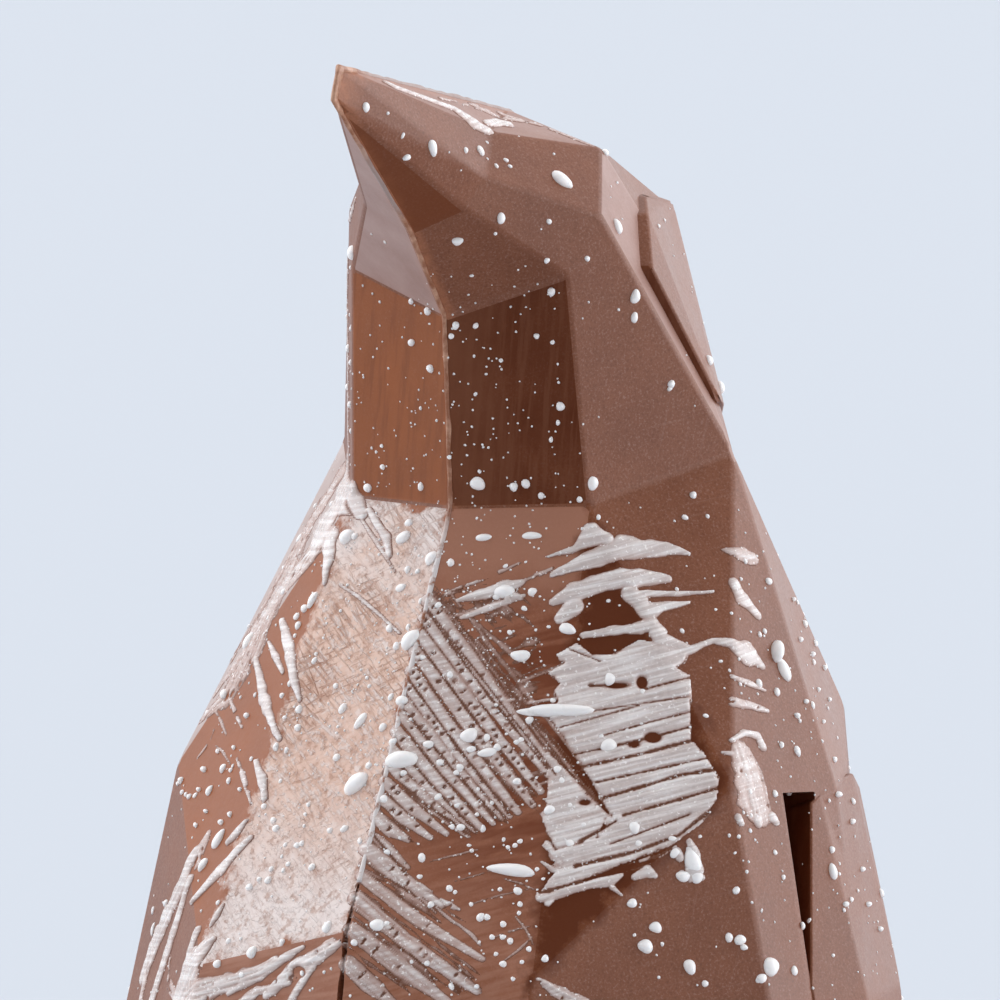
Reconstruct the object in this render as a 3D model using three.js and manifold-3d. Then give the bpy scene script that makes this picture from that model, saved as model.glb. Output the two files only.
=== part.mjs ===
import * as THREE from "three";
import { ConvexGeometry } from "three/addons/geometries/ConvexGeometry.js";
import { mergeVertices } from "three/addons/utils/BufferGeometryUtils.js";
import Module from "manifold-3d";

// A faceted milk-chocolate penguin that looks up, cast as two half shells that meet on the plane x = 0,
// brushed and flecked with white chocolate. It is one solid that stands on its flat base.
// Millimetres. +X is the figure's own left, -Y its front, +Z up. The origin is in the middle of the base.

// ---- driving sizes -------------------------------------------------------------------------------------

const bellyHeight = 50; // height of the widest outline
const bellyReach = 43.3; // front of the belly
const backReach = 44;
const baseShrink = 0.66; // base outline against belly outline
const footReach = 45; // toes, to the front
const tailReach = 45; // tail, to the back
const seamHalfWidth = 0.35;
const seamHeight = 0.35;
const crackHalfWidth = 0.25;
const crackDepth = 1.4;
const crackTop = 78;
const crackFoot = 40;
const dropHeight = 0.42; // of a drop's width
const strokeHeight = 0.4;
const strokeRoot = 0.3; // how deep a stroke's edges sit in the surface
const strokeSwell = [0.4, 1, 0.4]; // along a stroke, against its full width and height

// The figure's face is laid out as it is seen from one point in front and to the figure's left: "across"
// and "up" are millimetres on the upright plane through the origin that faces this point.
const layoutTurn = THREE.MathUtils.degToRad(28.8);
const layoutEye = new THREE.Vector3(1095.7, -1997, 277.8);

// ---- small geometry helpers ----------------------------------------------------------------------------

const vector = ([x, y, z]) => new THREE.Vector3(x, y, z);
const mirrored = ([x, y, z]) => [-x, y, z];
const bothSides = (points) => points.concat(points.filter(([x]) => x !== 0).map(mirrored));

// The point at a height on the line through two corners.
function onLine(a, b, height) {
  const share = (height - a[2]) / (b[2] - a[2]);
  return a.map((value, axis) => value + (b[axis] - value) * share);
}

// Fills in the one coordinate left null so that the point lies on the plane through a, b and c.
function onPlane(a, b, c, partial) {
  const plane = new THREE.Plane().setFromCoplanarPoints(vector(a), vector(b), vector(c));
  const open = partial.indexOf(null);
  const point = partial.map((value) => value ?? 0);
  point[open] = -plane.distanceToPoint(vector(point)) / plane.normal.getComponent(open);
  return point;
}

// ---- corners of the faceted body: the parting line, then one half --------------------------------------

const beakTop = [0, -40.7, 167.8];
const beakFront = [0, -41.8, 164.1];
const crown = [0, -2.1, 161.3];
const chin = [0, -24.7, 148.9];
const throat = [0, -16.7, 139.1];
const neckFoot = [0, -15.4, 117.9];
const breastLow = [0, -38.9, 72.6];
const neckBack = [0, 25, 121];
const back = [0, 38.5, 96];

const brow = [5.6, -16.4, 159.7];
const cheekTop = [7.8, -21.4, 155];
const cheekLow = [6.2, -23.8, 151.7];
const temple = [12.4, -3.2, 157.4];
const ear = [15.9, -9.8, 150.4];
const jaw = [13.6, -13.4, 143.9];
const neckSide = [14.9, -10.9, 118.4];
const shoulder = onPlane(ear, jaw, neckSide, [24.7, null, 123.5]);
const hood = onPlane(temple, ear, shoulder, [null, 1.7, 150]);
const nape = [8.9, 17.8, 150.5];
const napeTop = onPlane(crown, temple, nape, [0, 18.2, null]);
const neckBackSide = [14, 21, 119];
const breast = [20.8, -35, 67.7];
const flank = [35.1, -14.8, 88.1];
const hip = [40.4, -15.8, 64.4];
const notchTop = [36.8, -6.3, 87.1];
const sideTop = onPlane(shoulder, flank, notchTop, [null, 3.5, 87.2]);
const backSide = [29.4, 22.1, 94.7];
const backLow = onPlane(shoulder, sideTop, backSide, [null, 13, 88.3]);

// The widest outline, from the front round to the back, and the base below it.
const bellyFront = [0, -bellyReach, bellyHeight];
const bellyHip = onLine(flank, hip, bellyHeight);
const bellyBreast = onPlane(flank, breast, hip, [22.5, null, bellyHeight]);
const bellyNotch = onPlane(flank, hip, notchTop, [44.6, null, bellyHeight]);
const bellySide = [44, 3, bellyHeight];
const bellyBackSide = [40, 16, bellyHeight];
const bellyBack = [29, 31, bellyHeight];
const bellySpine = [0, backReach, bellyHeight];
const bellyOutline = [
  bellyFront,
  bellyBreast,
  bellyHip,
  bellyNotch,
  bellySide,
  bellyBackSide,
  bellyBack,
  bellySpine,
];
const baseOutline = bellyOutline.map(([x, y]) => [x * baseShrink, y * baseShrink, 0]);
const baseMiddle = [0, 0, 0];

// ---- facets of one half, counter-clockwise from outside -------------------------------------------------

const headFacets = [
  [crown, beakTop, brow],
  [crown, brow, temple],
  [crown, temple, nape, napeTop],
  [beakTop, cheekTop, brow],
  [beakTop, beakFront, cheekLow, cheekTop],
  [beakFront, chin, cheekLow],
  [chin, throat, jaw, cheekLow],
  [brow, cheekTop, ear, temple],
  [cheekTop, cheekLow, jaw, ear],
  [temple, ear, shoulder, hood],
  [temple, hood, nape],
];
const neckFacets = [
  [throat, neckFoot, neckSide, jaw],
  [ear, jaw, neckSide, shoulder],
  [hood, shoulder, nape],
  [nape, shoulder, neckBackSide],
  [napeTop, nape, neckBackSide, neckBack],
];
const breastFacets = [
  [neckFoot, breastLow, breast, neckSide],
  [neckSide, flank, shoulder],
  [neckSide, breast, flank],
  [breastLow, bellyFront, bellyBreast, breast],
  [breast, bellyBreast, bellyHip, flank],
];
const sideFacets = [
  [shoulder, flank, notchTop, sideTop],
  [flank, bellyHip, bellyNotch, notchTop],
  [notchTop, bellyNotch, bellySide, sideTop],
  [shoulder, sideTop, backLow, backSide],
  [sideTop, bellySide, bellyBackSide, backLow],
];
const backFacets = [
  [backLow, bellyBackSide, bellyBack, backSide],
  [neckBackSide, shoulder, backSide],
  [neckBack, neckBackSide, backSide, back],
  [back, backSide, bellyBack, bellySpine],
];

function lowerFacets() {
  const rows = bellyOutline.slice(1).map((corner, index) => [
    [bellyOutline[index], baseOutline[index], baseOutline[index + 1], corner],
    [baseOutline[index], baseMiddle, baseOutline[index + 1]],
  ]);
  return rows.flat();
}

// ---- solids ---------------------------------------------------------------------------------------------

const wasm = await Module();
wasm.setup();

// Turns a closed geometry into a solid that can be joined and cut.
function solidOf(geometry) {
  const bare = geometry.index ? geometry.toNonIndexed() : geometry.clone();
  bare.deleteAttribute("normal");
  bare.deleteAttribute("uv");
  const merged = mergeVertices(bare, 1e-4);
  const vertProperties = new Float32Array(merged.attributes.position.array);
  const triVerts = new Uint32Array(merged.index.array);
  return new wasm.Manifold(new wasm.Mesh({ numProp: 3, vertProperties, triVerts }));
}

function geometryOf(solid) {
  const mesh = solid.getMesh();
  const geometry = new THREE.BufferGeometry();
  geometry.setAttribute("position", new THREE.BufferAttribute(new Float32Array(mesh.vertProperties), 3));
  geometry.setIndex(new THREE.BufferAttribute(new Uint32Array(mesh.triVerts), 1));
  geometry.computeVertexNormals();
  return geometry;
}

const joined = (solids) => solids.reduce((whole, solid) => whole.add(solid));
const hullOf = (points) => solidOf(new ConvexGeometry(points.map(vector)));
const onBothSides = (points) => hullOf(points).add(hullOf(points.map(mirrored)));

// Splits polygons into triangles.
function polygonGeometry(polygons) {
  const positions = [];
  for (const corners of polygons) {
    for (let corner = 2; corner < corners.length; corner += 1) {
      positions.push(...corners[0], ...corners[corner - 1], ...corners[corner]);
    }
  }
  const geometry = new THREE.BufferGeometry();
  geometry.setAttribute("position", new THREE.Float32BufferAttribute(positions, 3));
  return geometry;
}

// The faceted body: both mirrored halves in one closed skin.
function body() {
  const half = [headFacets, neckFacets, breastFacets, sideFacets, backFacets, lowerFacets()].flat();
  const otherHalf = half.map((facet) => facet.map(mirrored).reverse());
  return solidOf(polygonGeometry(half.concat(otherHalf)));
}

// The raised plate that wraps the back of the head down to the neck.
function backPlate() {
  const frontEdge = [
    [13.4, 5.3, 151.7],
    [15.8, 1.3, 150],
    [18.7, -2.9, 144.3],
    [23.2, 4.4, 129.4],
    [22, 7.7, 128.6],
  ];
  const outer = frontEdge.concat([
    [11.8, 12.4, 150.3],
    [9.5, 18.8, 150.3],
    [13.8, 21.4, 123.5],
    [0, 19.2, 152.9],
    [0, 25.6, 123],
  ]);
  const rootScale = 0.8;
  const rootShift = -2.4;
  const root = outer.map(([x, y, z]) => [x * rootScale, y + rootShift, z]);
  return hullOf(bothSides(outer.concat(root)));
}

// A wing: a tapering flipper in relief, with a ridge down its outer face.
function wings() {
  const face = [
    [37.8, -1.6, 85.7],
    [38, 0.2, 86.6],
    [41.3, -8.1, 66.2],
    [44.1, 0.1, 64],
    [42.9, -8.6, 54],
    [45.6, 0.4, 52],
    [42.6, 2.5, 18],
  ];
  const rear = [
    [35.6, 12.4, 88.1],
    [34.1, 16.9, 86.1],
    [40.3, 15.2, 64.2],
    [41, 15.6, 50],
    [39.4, 8, 20],
  ];
  const root = [
    [30, 2, 84],
    [27, 14, 84],
    [34, -4, 60],
    [30, 16, 55],
    [28, 2, 24],
    [27, 8, 24],
  ];
  return onBothSides(face.concat(rear, root));
}

// The narrow wedge left open between the body and the front edge of each wing.
function notches() {
  const outside = 1.2;
  const rim = [
    notchTop,
    [38.3, -0.8, 86.9],
    [41.3, -8.1, 66.2],
  ];
  const lifted = rim.map(([x, y, z]) => [x + outside, y - outside * 0.2, z]);
  const floor = [
    [32.5, -1.5, 86.6],
    [33, 1, 86],
  ];
  return onBothSides(rim.concat(lifted, floor));
}

// The feet: flat faceted wedges that reach out below the belly.
function feet() {
  const sole = [
    [4, -18, 0],
    [5, -42, 0],
    [12, -footReach, 0],
    [20, -41, 0],
    [24, -18, 0],
  ];
  const instep = [
    [6, -22, 10],
    [13, -24, 13],
    [21, -20, 10],
    [6, -40.5, 3],
    [12.5, -43, 4.5],
    [18.5, -39.5, 3],
  ];
  return onBothSides(sole.concat(instep));
}

function tail() {
  const half = [
    [11, 20, 0],
    [5, tailReach, 0],
    [3, tailReach - 0.5, 3],
    [7, 27, 18],
    [0, 29, 22],
  ];
  return hullOf(bothSides(half));
}

// ---- the parting line: a fine raised seam, and the crack where the halves stand apart ------------------

// Follows a line in the plane x = 0 with a section given as [x, outwards].
function alongSeam(line, section) {
  const ring = ([, y, z], outward) =>
    section.map(([x, out]) => [x, y + outward.y * out, z + outward.z * out]);
  const stretches = line.slice(1).map((end, index) => {
    const start = line[index];
    const outward = new THREE.Vector3(0, end[2] - start[2], start[1] - end[1]).normalize();
    return hullOf(ring(start, outward).concat(ring(end, outward)));
  });
  return joined(stretches);
}

const seamFoot = onLine(bellyFront, baseOutline[0], 1);
const frontSeam = [beakTop, beakFront, chin, throat, neckFoot, breastLow, bellyFront, seamFoot];
const backSeam = [back, neckBack, [0, 25.6, 123], [0, 19.2, 152.9], napeTop, crown, beakTop];

function seam() {
  const section = [
    [-seamHalfWidth, -1],
    [seamHalfWidth, -1],
    [-seamHalfWidth, 0],
    [seamHalfWidth, 0],
    [0, seamHeight],
  ];
  const crackStart = onLine(neckFoot, breastLow, crackTop);
  const crackEnd = onLine(bellyFront, baseOutline[0], crackFoot);
  const above = frontSeam.slice(0, frontSeam.indexOf(breastLow)).concat([crackStart]);
  const below = [crackEnd, seamFoot];
  return joined([above, below, backSeam].map((line) => alongSeam(line, section)));
}

function crack() {
  const section = [
    [-crackHalfWidth, 1],
    [crackHalfWidth, 1],
    [-crackHalfWidth, 0],
    [crackHalfWidth, 0],
    [0, -crackDepth],
  ];
  const line = [
    onLine(neckFoot, breastLow, crackTop),
    breastLow,
    bellyFront,
    onLine(bellyFront, baseOutline[0], crackFoot),
  ];
  return alongSeam(line, section);
}

// ---- white chocolate: drops and brush strokes, laid on the surface -------------------------------------

const plain = joined([body().subtract(notches()), wings(), backPlate(), feet(), tail(), seam()]);
const bare = plain.subtract(crack());
const surface = new THREE.Mesh(geometryOf(plain), new THREE.MeshBasicMaterial());

// The place on the surface that a ray meets first, with the surface's normal there.
function landing(from, towards) {
  const ray = new THREE.Raycaster(from, towards.clone().sub(from).normalize());
  const [hit] = ray.intersectObject(surface);
  return { point: hit.point, normal: hit.face.normal.clone() };
}

function onLayout(across, up) {
  const place = new THREE.Vector3(across * Math.cos(layoutTurn), across * Math.sin(layoutTurn), up);
  return landing(layoutEye, place);
}

// A drop: a low dome, longer along the given direction.
function drop({ point, normal }, direction, length, width) {
  const side = new THREE.Vector3().crossVectors(normal, direction).normalize();
  const along = new THREE.Vector3().crossVectors(side, normal);
  const dome = new THREE.SphereGeometry(1, 6, 4).rotateX(Math.PI / 2);
  dome.scale(length / 2, width / 2, width * dropHeight);
  dome.applyMatrix4(new THREE.Matrix4().makeBasis(along, side, normal));
  return solidOf(dome.translate(point.x, point.y, point.z));
}

// The direction on the layout plane that rises by an angle in degrees.
function layoutDirection(angle) {
  const rise = THREE.MathUtils.degToRad(angle);
  const level = Math.cos(rise);
  return new THREE.Vector3(level * Math.cos(layoutTurn), level * Math.sin(layoutTurn), Math.sin(rise));
}

// The largest drops on the face of the figure: across, up, length, width, angle in degrees.
const faceDrops = [
  [4.9, 153.4, 2.9, 1.6, -44],
  [-9.4, 157, 1.9, 1.1, -80],
  [11.1, 148.2, 2, 1.2, -75],
  [13.1, 140.4, 1.6, 1.2, 80],
  [-4.4, 119.6, 1.9, 1.4, -20],
  [8.4, 119.6, 1.7, 1.2, 90],
  [-12.6, 113.6, 2, 1.4, 20],
  [-18.9, 113.7, 2.2, 1.6, 20],
  [-22.7, 106.6, 2, 1.2, 60],
  [0.4, 100.4, 2.2, 1.4, -13],
  [29.6, 98.8, 2.8, 1.6, -75],
  [5.6, 103.4, 2.1, 1.2, -20],
  [3.1, 94.2, 6.7, 1, -2],
  [-17.4, 93.1, 2.2, 1.1, 55],
  [-5.4, 91.5, 2, 1.7, 0],
  [10.2, 90.4, 1.8, 1.6, 0],
  [-12.8, 88.8, 3.6, 2.2, 0],
  [-17.9, 86.1, 3.3, 2.2, 15],
  [-33.2, 79.9, 2.7, 1.3, 55],
  [19.5, 77.5, 3.1, 1.8, -80],
  [19.3, 75.8, 2.8, 1.4, 0],
  [-0.6, 76.5, 5.8, 1.4, -10],
  [35.1, 76.3, 1.8, 1.2, 90],
  [15.4, 70.1, 1.4, 1.3, 0],
  [14.2, 68, 1.7, 1.6, 0],
  [-29.5, 67.3, 1.6, 1.2, 60],
  [19.2, 65.7, 1.7, 1.4, -60],
  [28.2, 65.7, 2.3, 2.1, 0],
];

// Drops on the sides that the layout doesn't reach, spread by a seeded rule: how far round from the
// layout's middle in degrees, how high, how long, and how wide against the length.
const spreadSeed = 4127;
const spreadCount = 36;
const spreadTurns = [70, 290];
const spreadHeights = [12, 154];
const spreadLengths = [1.2, 2.4];
const spreadWidths = [0.65, 0.95];
const spreadEyeReach = 200;

function seededRandom(seed) {
  let state = seed;
  return () => {
    state = (state * 16807) % 2147483647;
    return state / 2147483647;
  };
}

const between = ([low, high], share) => low + (high - low) * share;

function spreadDrops() {
  const random = seededRandom(spreadSeed);
  const upright = new THREE.Vector3(0, 0, 1);
  return Array.from({ length: spreadCount }, () => {
    const turn = THREE.MathUtils.degToRad(between(spreadTurns, random()));
    const height = between(spreadHeights, random());
    const length = between(spreadLengths, random() ** 2);
    const width = length * between(spreadWidths, random());
    const direction = layoutDirection(180 * random()).applyAxisAngle(upright, turn);
    const outside = layoutEye.clone().setZ(0).setLength(spreadEyeReach).applyAxisAngle(upright, turn);
    const spot = landing(outside.setZ(height), new THREE.Vector3(0, 0, height));
    return drop(spot, direction, length, width);
  });
}

// A brush stroke: a low ridge between two places of the layout, with narrow ends.
function stroke(start, angle, length, width) {
  const rise = THREE.MathUtils.degToRad(angle);
  const direction = layoutDirection(angle);
  const rings = strokeSwell.map((swell, index) => {
    const reach = (length * index) / (strokeSwell.length - 1);
    const across = start[0] + reach * Math.cos(rise);
    const { point, normal } = onLayout(across, start[1] + reach * Math.sin(rise));
    const side = new THREE.Vector3().crossVectors(normal, direction).setLength((width * swell) / 2);
    const foot = point.clone().addScaledVector(normal, -strokeRoot);
    const ridge = point.clone().addScaledVector(normal, strokeHeight * swell);
    return [foot.clone().sub(side), ridge, foot.clone().add(side)];
  });
  return loft(rings);
}

// Closes a row of rings of points into one solid.
function loft(rings) {
  const polygons = [];
  const corners = rings.map((ring) => ring.map((point) => point.toArray()));
  const count = corners[0].length;
  for (let row = 1; row < corners.length; row += 1) {
    for (let index = 0; index < count; index += 1) {
      const next = (index + 1) % count;
      polygons.push([corners[row - 1][index], corners[row][index], corners[row][next]]);
      polygons.push([corners[row - 1][index], corners[row][next], corners[row - 1][next]]);
    }
  }
  polygons.push(corners[0]);
  polygons.push(corners[corners.length - 1].slice().reverse());
  return solidOf(polygonGeometry(polygons));
}

// Rows of strokes: the first stroke's start, the step to the next start, and what changes along the row.
const strokeRows = [
  { start: [-9.3, 107.8], step: [-0.9, -3.5], count: 9, angle: -52, length: 29, grow: -3, width: 1.1 },
  { start: [-16.6, 78.8], step: [-0.4, -2], count: 4, angle: -46, turn: 3, length: 6, grow: 4.5, width: 1.1 },
  { start: [-18.2, 70.8], step: [-0.4, -2], count: 3, angle: -34, turn: 2, length: 17, grow: -5, width: 1.1 },
  { start: [-7, 105.2], step: [0.6, -1.5], count: 2, angle: 16, length: 7, grow: -2, width: 1 },
  { start: [5.4, 109.9], step: [-1, -4], count: 2, angle: 8, turn: 4, length: 14, grow: -2, width: 2 },
  { start: [14.2, 107], step: [0.5, -1.4], count: 2, angle: 2, length: 6, grow: -1, width: 0.9 },
  { start: [6, 102.4], step: [0, -2.1], count: 12, angle: 15, length: 14.4, grow: -0.1, width: 1.7 },
  { start: [23.6, 111.5], step: [0.1, -5], count: 3, angle: -18, turn: -8, length: 3.6, width: 1.7 },
  { start: [24.4, 98], step: [0, -2.7], count: 6, angle: -16, turn: 3, length: 3.8, width: 1.3 },
  { start: [-21.4, 111.6], step: [-3.4, -6.4], count: 3, angle: -118, length: 7, width: 1.3 },
  { start: [-26.4, 104.4], step: [-2.6, -4], count: 2, angle: -75, length: 8.4, width: 0.9 },
  { start: [-29.8, 82], step: [-2.1, -3.2], count: 3, angle: -122, length: 9, width: 1.1 },
  { start: [-20.6, 68.2], step: [-3.4, -0.6], count: 2, angle: -152, length: 9.6, grow: 1, width: 1.4 },
];

function rowOfStrokes({ start, step, count, angle, turn = 0, length, grow = 0, width }) {
  return Array.from({ length: count }, (_, index) => {
    const place = [start[0] + step[0] * index, start[1] + step[1] * index];
    return stroke(place, angle + turn * index, length + grow * index, width);
  });
}

const toppings = [
  ...faceDrops.map(([across, up, length, width, angle]) =>
    drop(onLayout(across, up), layoutDirection(angle), length, width),
  ),
  ...spreadDrops(),
  ...strokeRows.flatMap(rowOfStrokes),
];

// ---- the part ------------------------------------------------------------------------------------------

const milkChocolate = new THREE.MeshStandardMaterial({ color: 0x7d4f40, roughness: 0.42, metalness: 0 });

const penguin = new THREE.Mesh(geometryOf(joined([bare, ...toppings])), milkChocolate);
penguin.name = "chocolate_penguin";

const group = new THREE.Group();
group.add(penguin);

export default group;
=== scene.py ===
import math

import bmesh
import bpy
import numpy as np
from mathutils import Matrix, Vector
from mathutils.bvhtree import BVHTree


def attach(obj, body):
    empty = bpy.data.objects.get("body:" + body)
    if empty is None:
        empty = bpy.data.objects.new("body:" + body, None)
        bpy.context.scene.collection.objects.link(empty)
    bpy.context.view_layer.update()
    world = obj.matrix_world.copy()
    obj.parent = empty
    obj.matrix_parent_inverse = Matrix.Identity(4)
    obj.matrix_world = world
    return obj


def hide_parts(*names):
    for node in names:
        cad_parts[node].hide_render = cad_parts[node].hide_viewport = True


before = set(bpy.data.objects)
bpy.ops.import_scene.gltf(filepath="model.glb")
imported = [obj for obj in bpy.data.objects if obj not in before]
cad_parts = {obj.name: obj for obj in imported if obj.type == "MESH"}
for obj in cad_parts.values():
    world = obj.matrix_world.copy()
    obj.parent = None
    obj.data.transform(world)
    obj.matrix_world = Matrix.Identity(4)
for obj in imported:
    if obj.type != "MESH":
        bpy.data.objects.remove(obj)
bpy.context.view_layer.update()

# A faceted milk-chocolate penguin with white chocolate brushed and flecked over it.
# Shapes are worked out in millimetres, in the frame's own axes, and made into meshes in metres.

MM = 0.001
NODE = "chocolate_penguin"
BODY = "root"

# ---- the view -------------------------------------------------------------------------------------------

LAYOUT_TURN = math.radians(28.8)
EYE = Vector((1095.70, -1997.03, 277.75))
TARGET = Vector((-1.672, -0.919, 117.778))
LENS = 739.9
SENSOR = 36.0

# ---- driving sizes --------------------------------------------------------------------------------------

BELLY_HEIGHT = 50.0
BELLY_REACH = 43.3
BACK_REACH = 44.0
BASE_SHRINK = 0.66

EDGE_ROUND = 0.5
RELIEF_ROUND = 0.38
ROUND_SEGMENTS = 3
SAME_PLACE = 1e-3
SAME_PLANE = math.radians(0.8)
FLAT_EDGE = math.radians(2.5)
CREASE = math.radians(38)

SEAM_HALF_WIDTH = 0.36
SEAM_NARROWING = 0.85  # of the width, on the neck and head
SEAM_NARROW_FROM = 117.0
SEAM_HEIGHT = 0.34
SEAM_ROOT = 0.9
SEAM_SINK = 0.12
SEAM_SWAY = 0.16
SEAM_STEP = 0.55
SEAM_CORNERS = 7
SEAM_SEED = 11

CRACK_HALF_WIDTH = 0.33
CRACK_DEPTH = 1.4
CRACK_TOP = 78.0
CRACK_FOOT = 40.0
CRACK_SWAY = 0.3
CRACK_STEP = 1.1
CRACK_TAPER = 5  # steps
CRACK_FLARE = 1.3
CRACK_SEED = 23

# ---- corners of the faceted body ------------------------------------------------------------------------


def on_line(a, b, height):
    share = (height - a[2]) / (b[2] - a[2])
    return tuple(p + (q - p) * share for p, q in zip(a, b))


def on_plane(a, b, c, partial):
    """Fills in the coordinate left None so that the point lies on the plane through a, b and c."""
    normal = (Vector(b) - Vector(a)).cross(Vector(c) - Vector(a))
    axis = partial.index(None)
    point = Vector([0.0 if value is None else value for value in partial])
    point[axis] = -normal.dot(point - Vector(a)) / normal[axis]
    return tuple(point)


def mirrored(point):
    return (-point[0], point[1], point[2])


def far(facet):
    """The facet's mirror image, which the photo's view sees from the far side."""
    return [mirrored(point) for point in reversed(facet)]


beak_top = (0, -40.7, 167.8)
beak_front = (0, -41.8, 164.1)
crown = (0, -2.1, 161.3)
chin = (0, -24.7, 148.9)
throat = (0, -16.7, 139.1)
neck_foot = (0, -15.4, 117.9)
breast_low = (0, -38.9, 72.6)
neck_back = (0, 25, 121)
back = (0, 38.5, 96)
brow = (5.6, -16.4, 159.7)
cheek_top = (7.8, -21.4, 155)
cheek_low = (6.2, -23.8, 151.7)
temple = (12.4, -3.2, 157.4)
ear = (15.9, -9.8, 150.4)
jaw = (13.6, -13.4, 143.9)
neck_side = (14.9, -10.9, 118.4)
shoulder = on_plane(ear, jaw, neck_side, [24.7, None, 123.5])
hood = on_plane(temple, ear, shoulder, [None, 1.7, 150])
nape = (8.9, 17.8, 150.5)
nape_top = on_plane(crown, temple, nape, [0, 18.2, None])
neck_back_side = (14, 21, 119)
breast = (20.8, -35, 67.7)
flank = (35.1, -14.8, 88.1)
hip = (40.4, -15.8, 64.4)
notch_top = (36.8, -6.3, 87.1)
side_top = on_plane(shoulder, flank, notch_top, [None, 3.5, 87.2])
back_side = (29.4, 22.1, 94.7)
back_low = on_plane(shoulder, side_top, back_side, [None, 13, 88.3])
belly_front = (0, -BELLY_REACH, BELLY_HEIGHT)
belly_hip = on_line(flank, hip, BELLY_HEIGHT)
belly_breast = on_plane(flank, breast, hip, [22.5, None, BELLY_HEIGHT])
belly_notch = on_plane(flank, hip, notch_top, [44.6, None, BELLY_HEIGHT])
belly_side = (44, 3, BELLY_HEIGHT)
belly_back_side = (40, 16, BELLY_HEIGHT)
belly_back = (29, 31, BELLY_HEIGHT)
belly_spine = (0, BACK_REACH, BELLY_HEIGHT)
belly_outline = [
    belly_front, belly_breast, belly_hip, belly_notch,
    belly_side, belly_back_side, belly_back, belly_spine,
]
base_outline = [(x * BASE_SHRINK, y * BASE_SHRINK, 0) for x, y, _ in belly_outline]
crack_top = on_line(neck_foot, breast_low, CRACK_TOP)
crack_foot = on_line(belly_front, base_outline[0], CRACK_FOOT)
seam_foot = on_line(belly_front, base_outline[0], 1)
notch_side = (38.3, -0.8, 86.9)
notch_foot = (41.3, -8.1, 66.2)
plate_top = (0, 19.2, 152.9)
plate_foot = (0, 25.6, 123)

# Facets of one half, counter-clockwise from outside.
CROWN_FACET = [crown, beak_top, brow]
BROW_FACET = [crown, brow, temple]
BEAK_UNDERSIDE = [beak_front, chin, cheek_low]
THROAT_FACET = [chin, throat, jaw, cheek_low]
HOOD_FACET = [temple, ear, shoulder, hood]
NECK_FACET = [throat, neck_foot, neck_side, jaw]
BREAST_FACET = [neck_foot, breast_low, breast, neck_side]
FLANK_FACET = [neck_side, flank, shoulder]
CHEST_FACET = [neck_side, breast, flank]
BELLY_FACET = [breast_low, belly_front, belly_breast, breast]
HALF_FACETS = [
    CROWN_FACET,
    BROW_FACET,
    [crown, temple, nape, nape_top],
    [beak_top, cheek_top, brow],
    [beak_top, beak_front, cheek_low, cheek_top],
    BEAK_UNDERSIDE,
    THROAT_FACET,
    [brow, cheek_top, ear, temple],
    [cheek_top, cheek_low, jaw, ear],
    HOOD_FACET,
    [temple, hood, nape],
    NECK_FACET,
    [ear, jaw, neck_side, shoulder],
    [hood, shoulder, nape],
    [nape, shoulder, neck_back_side],
    [nape_top, nape, neck_back_side, neck_back],
    BREAST_FACET,
    FLANK_FACET,
    CHEST_FACET,
    BELLY_FACET,
    [breast, belly_breast, belly_hip, flank],
    [shoulder, flank, notch_top, side_top],
    [flank, belly_hip, belly_notch, notch_top],
    [notch_top, belly_notch, belly_side, side_top],
    [shoulder, side_top, back_low, back_side],
    [side_top, belly_side, belly_back_side, back_low],
    [back_low, belly_back_side, belly_back, back_side],
    [neck_back_side, shoulder, back_side],
    [neck_back, neck_back_side, back_side, back],
    [back, back_side, belly_back, belly_spine],
]

# Corners of the parts that stand out from the body, on the figure's left. Each is the hull of its corners.
PLATE_OUTER = [
    (13.4, 5.3, 151.7), (15.8, 1.3, 150), (18.7, -2.9, 144.3), (23.2, 4.4, 129.4), (22, 7.7, 128.6),
    (11.8, 12.4, 150.3), (9.5, 18.8, 150.3), (13.8, 21.4, 123.5), plate_top, plate_foot,
]
PLATE_ROOT_SHRINK = 0.8
PLATE_ROOT_SHIFT = 2.4
WING = [
    (37.8, -1.6, 85.7), (38, 0.2, 86.6), notch_foot, (44.1, 0.1, 64), (45.3, -8.9, 50),
    (45.6, 0.4, 52), (42.6, 2.5, 18), (35.6, 12.4, 88.1), (34.1, 16.9, 86.1), (40.3, 15.2, 64.2),
    (41, 15.6, 50), (39.4, 8, 20), (30, 2, 84), (27, 14, 84), (34, -4, 60), (30, 16, 55), (28, 2, 24),
    (27, 8, 24),
]
NOTCH_RIM = [notch_top, notch_side, notch_foot]
NOTCH_FLOOR = [(32.5, -1.5, 86.6), (33, 1, 86)]
NOTCH_LIFT = (1.2, -0.24)  # how far outside the rim the cutter starts
FOOT = [
    (4, -18, 0), (5, -42, 0), (12, -45, 0), (20, -41, 0), (24, -18, 0),
    (6, -22, 10), (13, -24, 13), (21, -20, 10), (6, -40.5, 3), (12.5, -43, 4.5), (18.5, -39.5, 3),
]
TAIL = [(11, 20, 0), (5, 45, 0), (3, 44.5, 3), (7, 27, 18), (0, 29, 22)]

FRONT_SEAM = [beak_top, beak_front, chin, throat, neck_foot, crack_top]
LOW_SEAM = [crack_foot, seam_foot]
BACK_SEAM = [back, neck_back, plate_foot, plate_top, nape_top, crown, beak_top]
CRACK_LINE = [crack_top, breast_low, belly_front, crack_foot]

# ---- mesh helpers ---------------------------------------------------------------------------------------


def linked(name, mesh):
    piece = bpy.data.objects.new(name, mesh)
    bpy.context.scene.collection.objects.link(piece)
    return piece


def object_of(bm, name):
    """Makes an object in metres of a bmesh in millimetres."""
    bmesh.ops.scale(bm, vec=(MM, MM, MM), verts=bm.verts)
    mesh = bpy.data.meshes.new(name)
    bm.to_mesh(mesh)
    bm.free()
    return linked(name, mesh)


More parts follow.
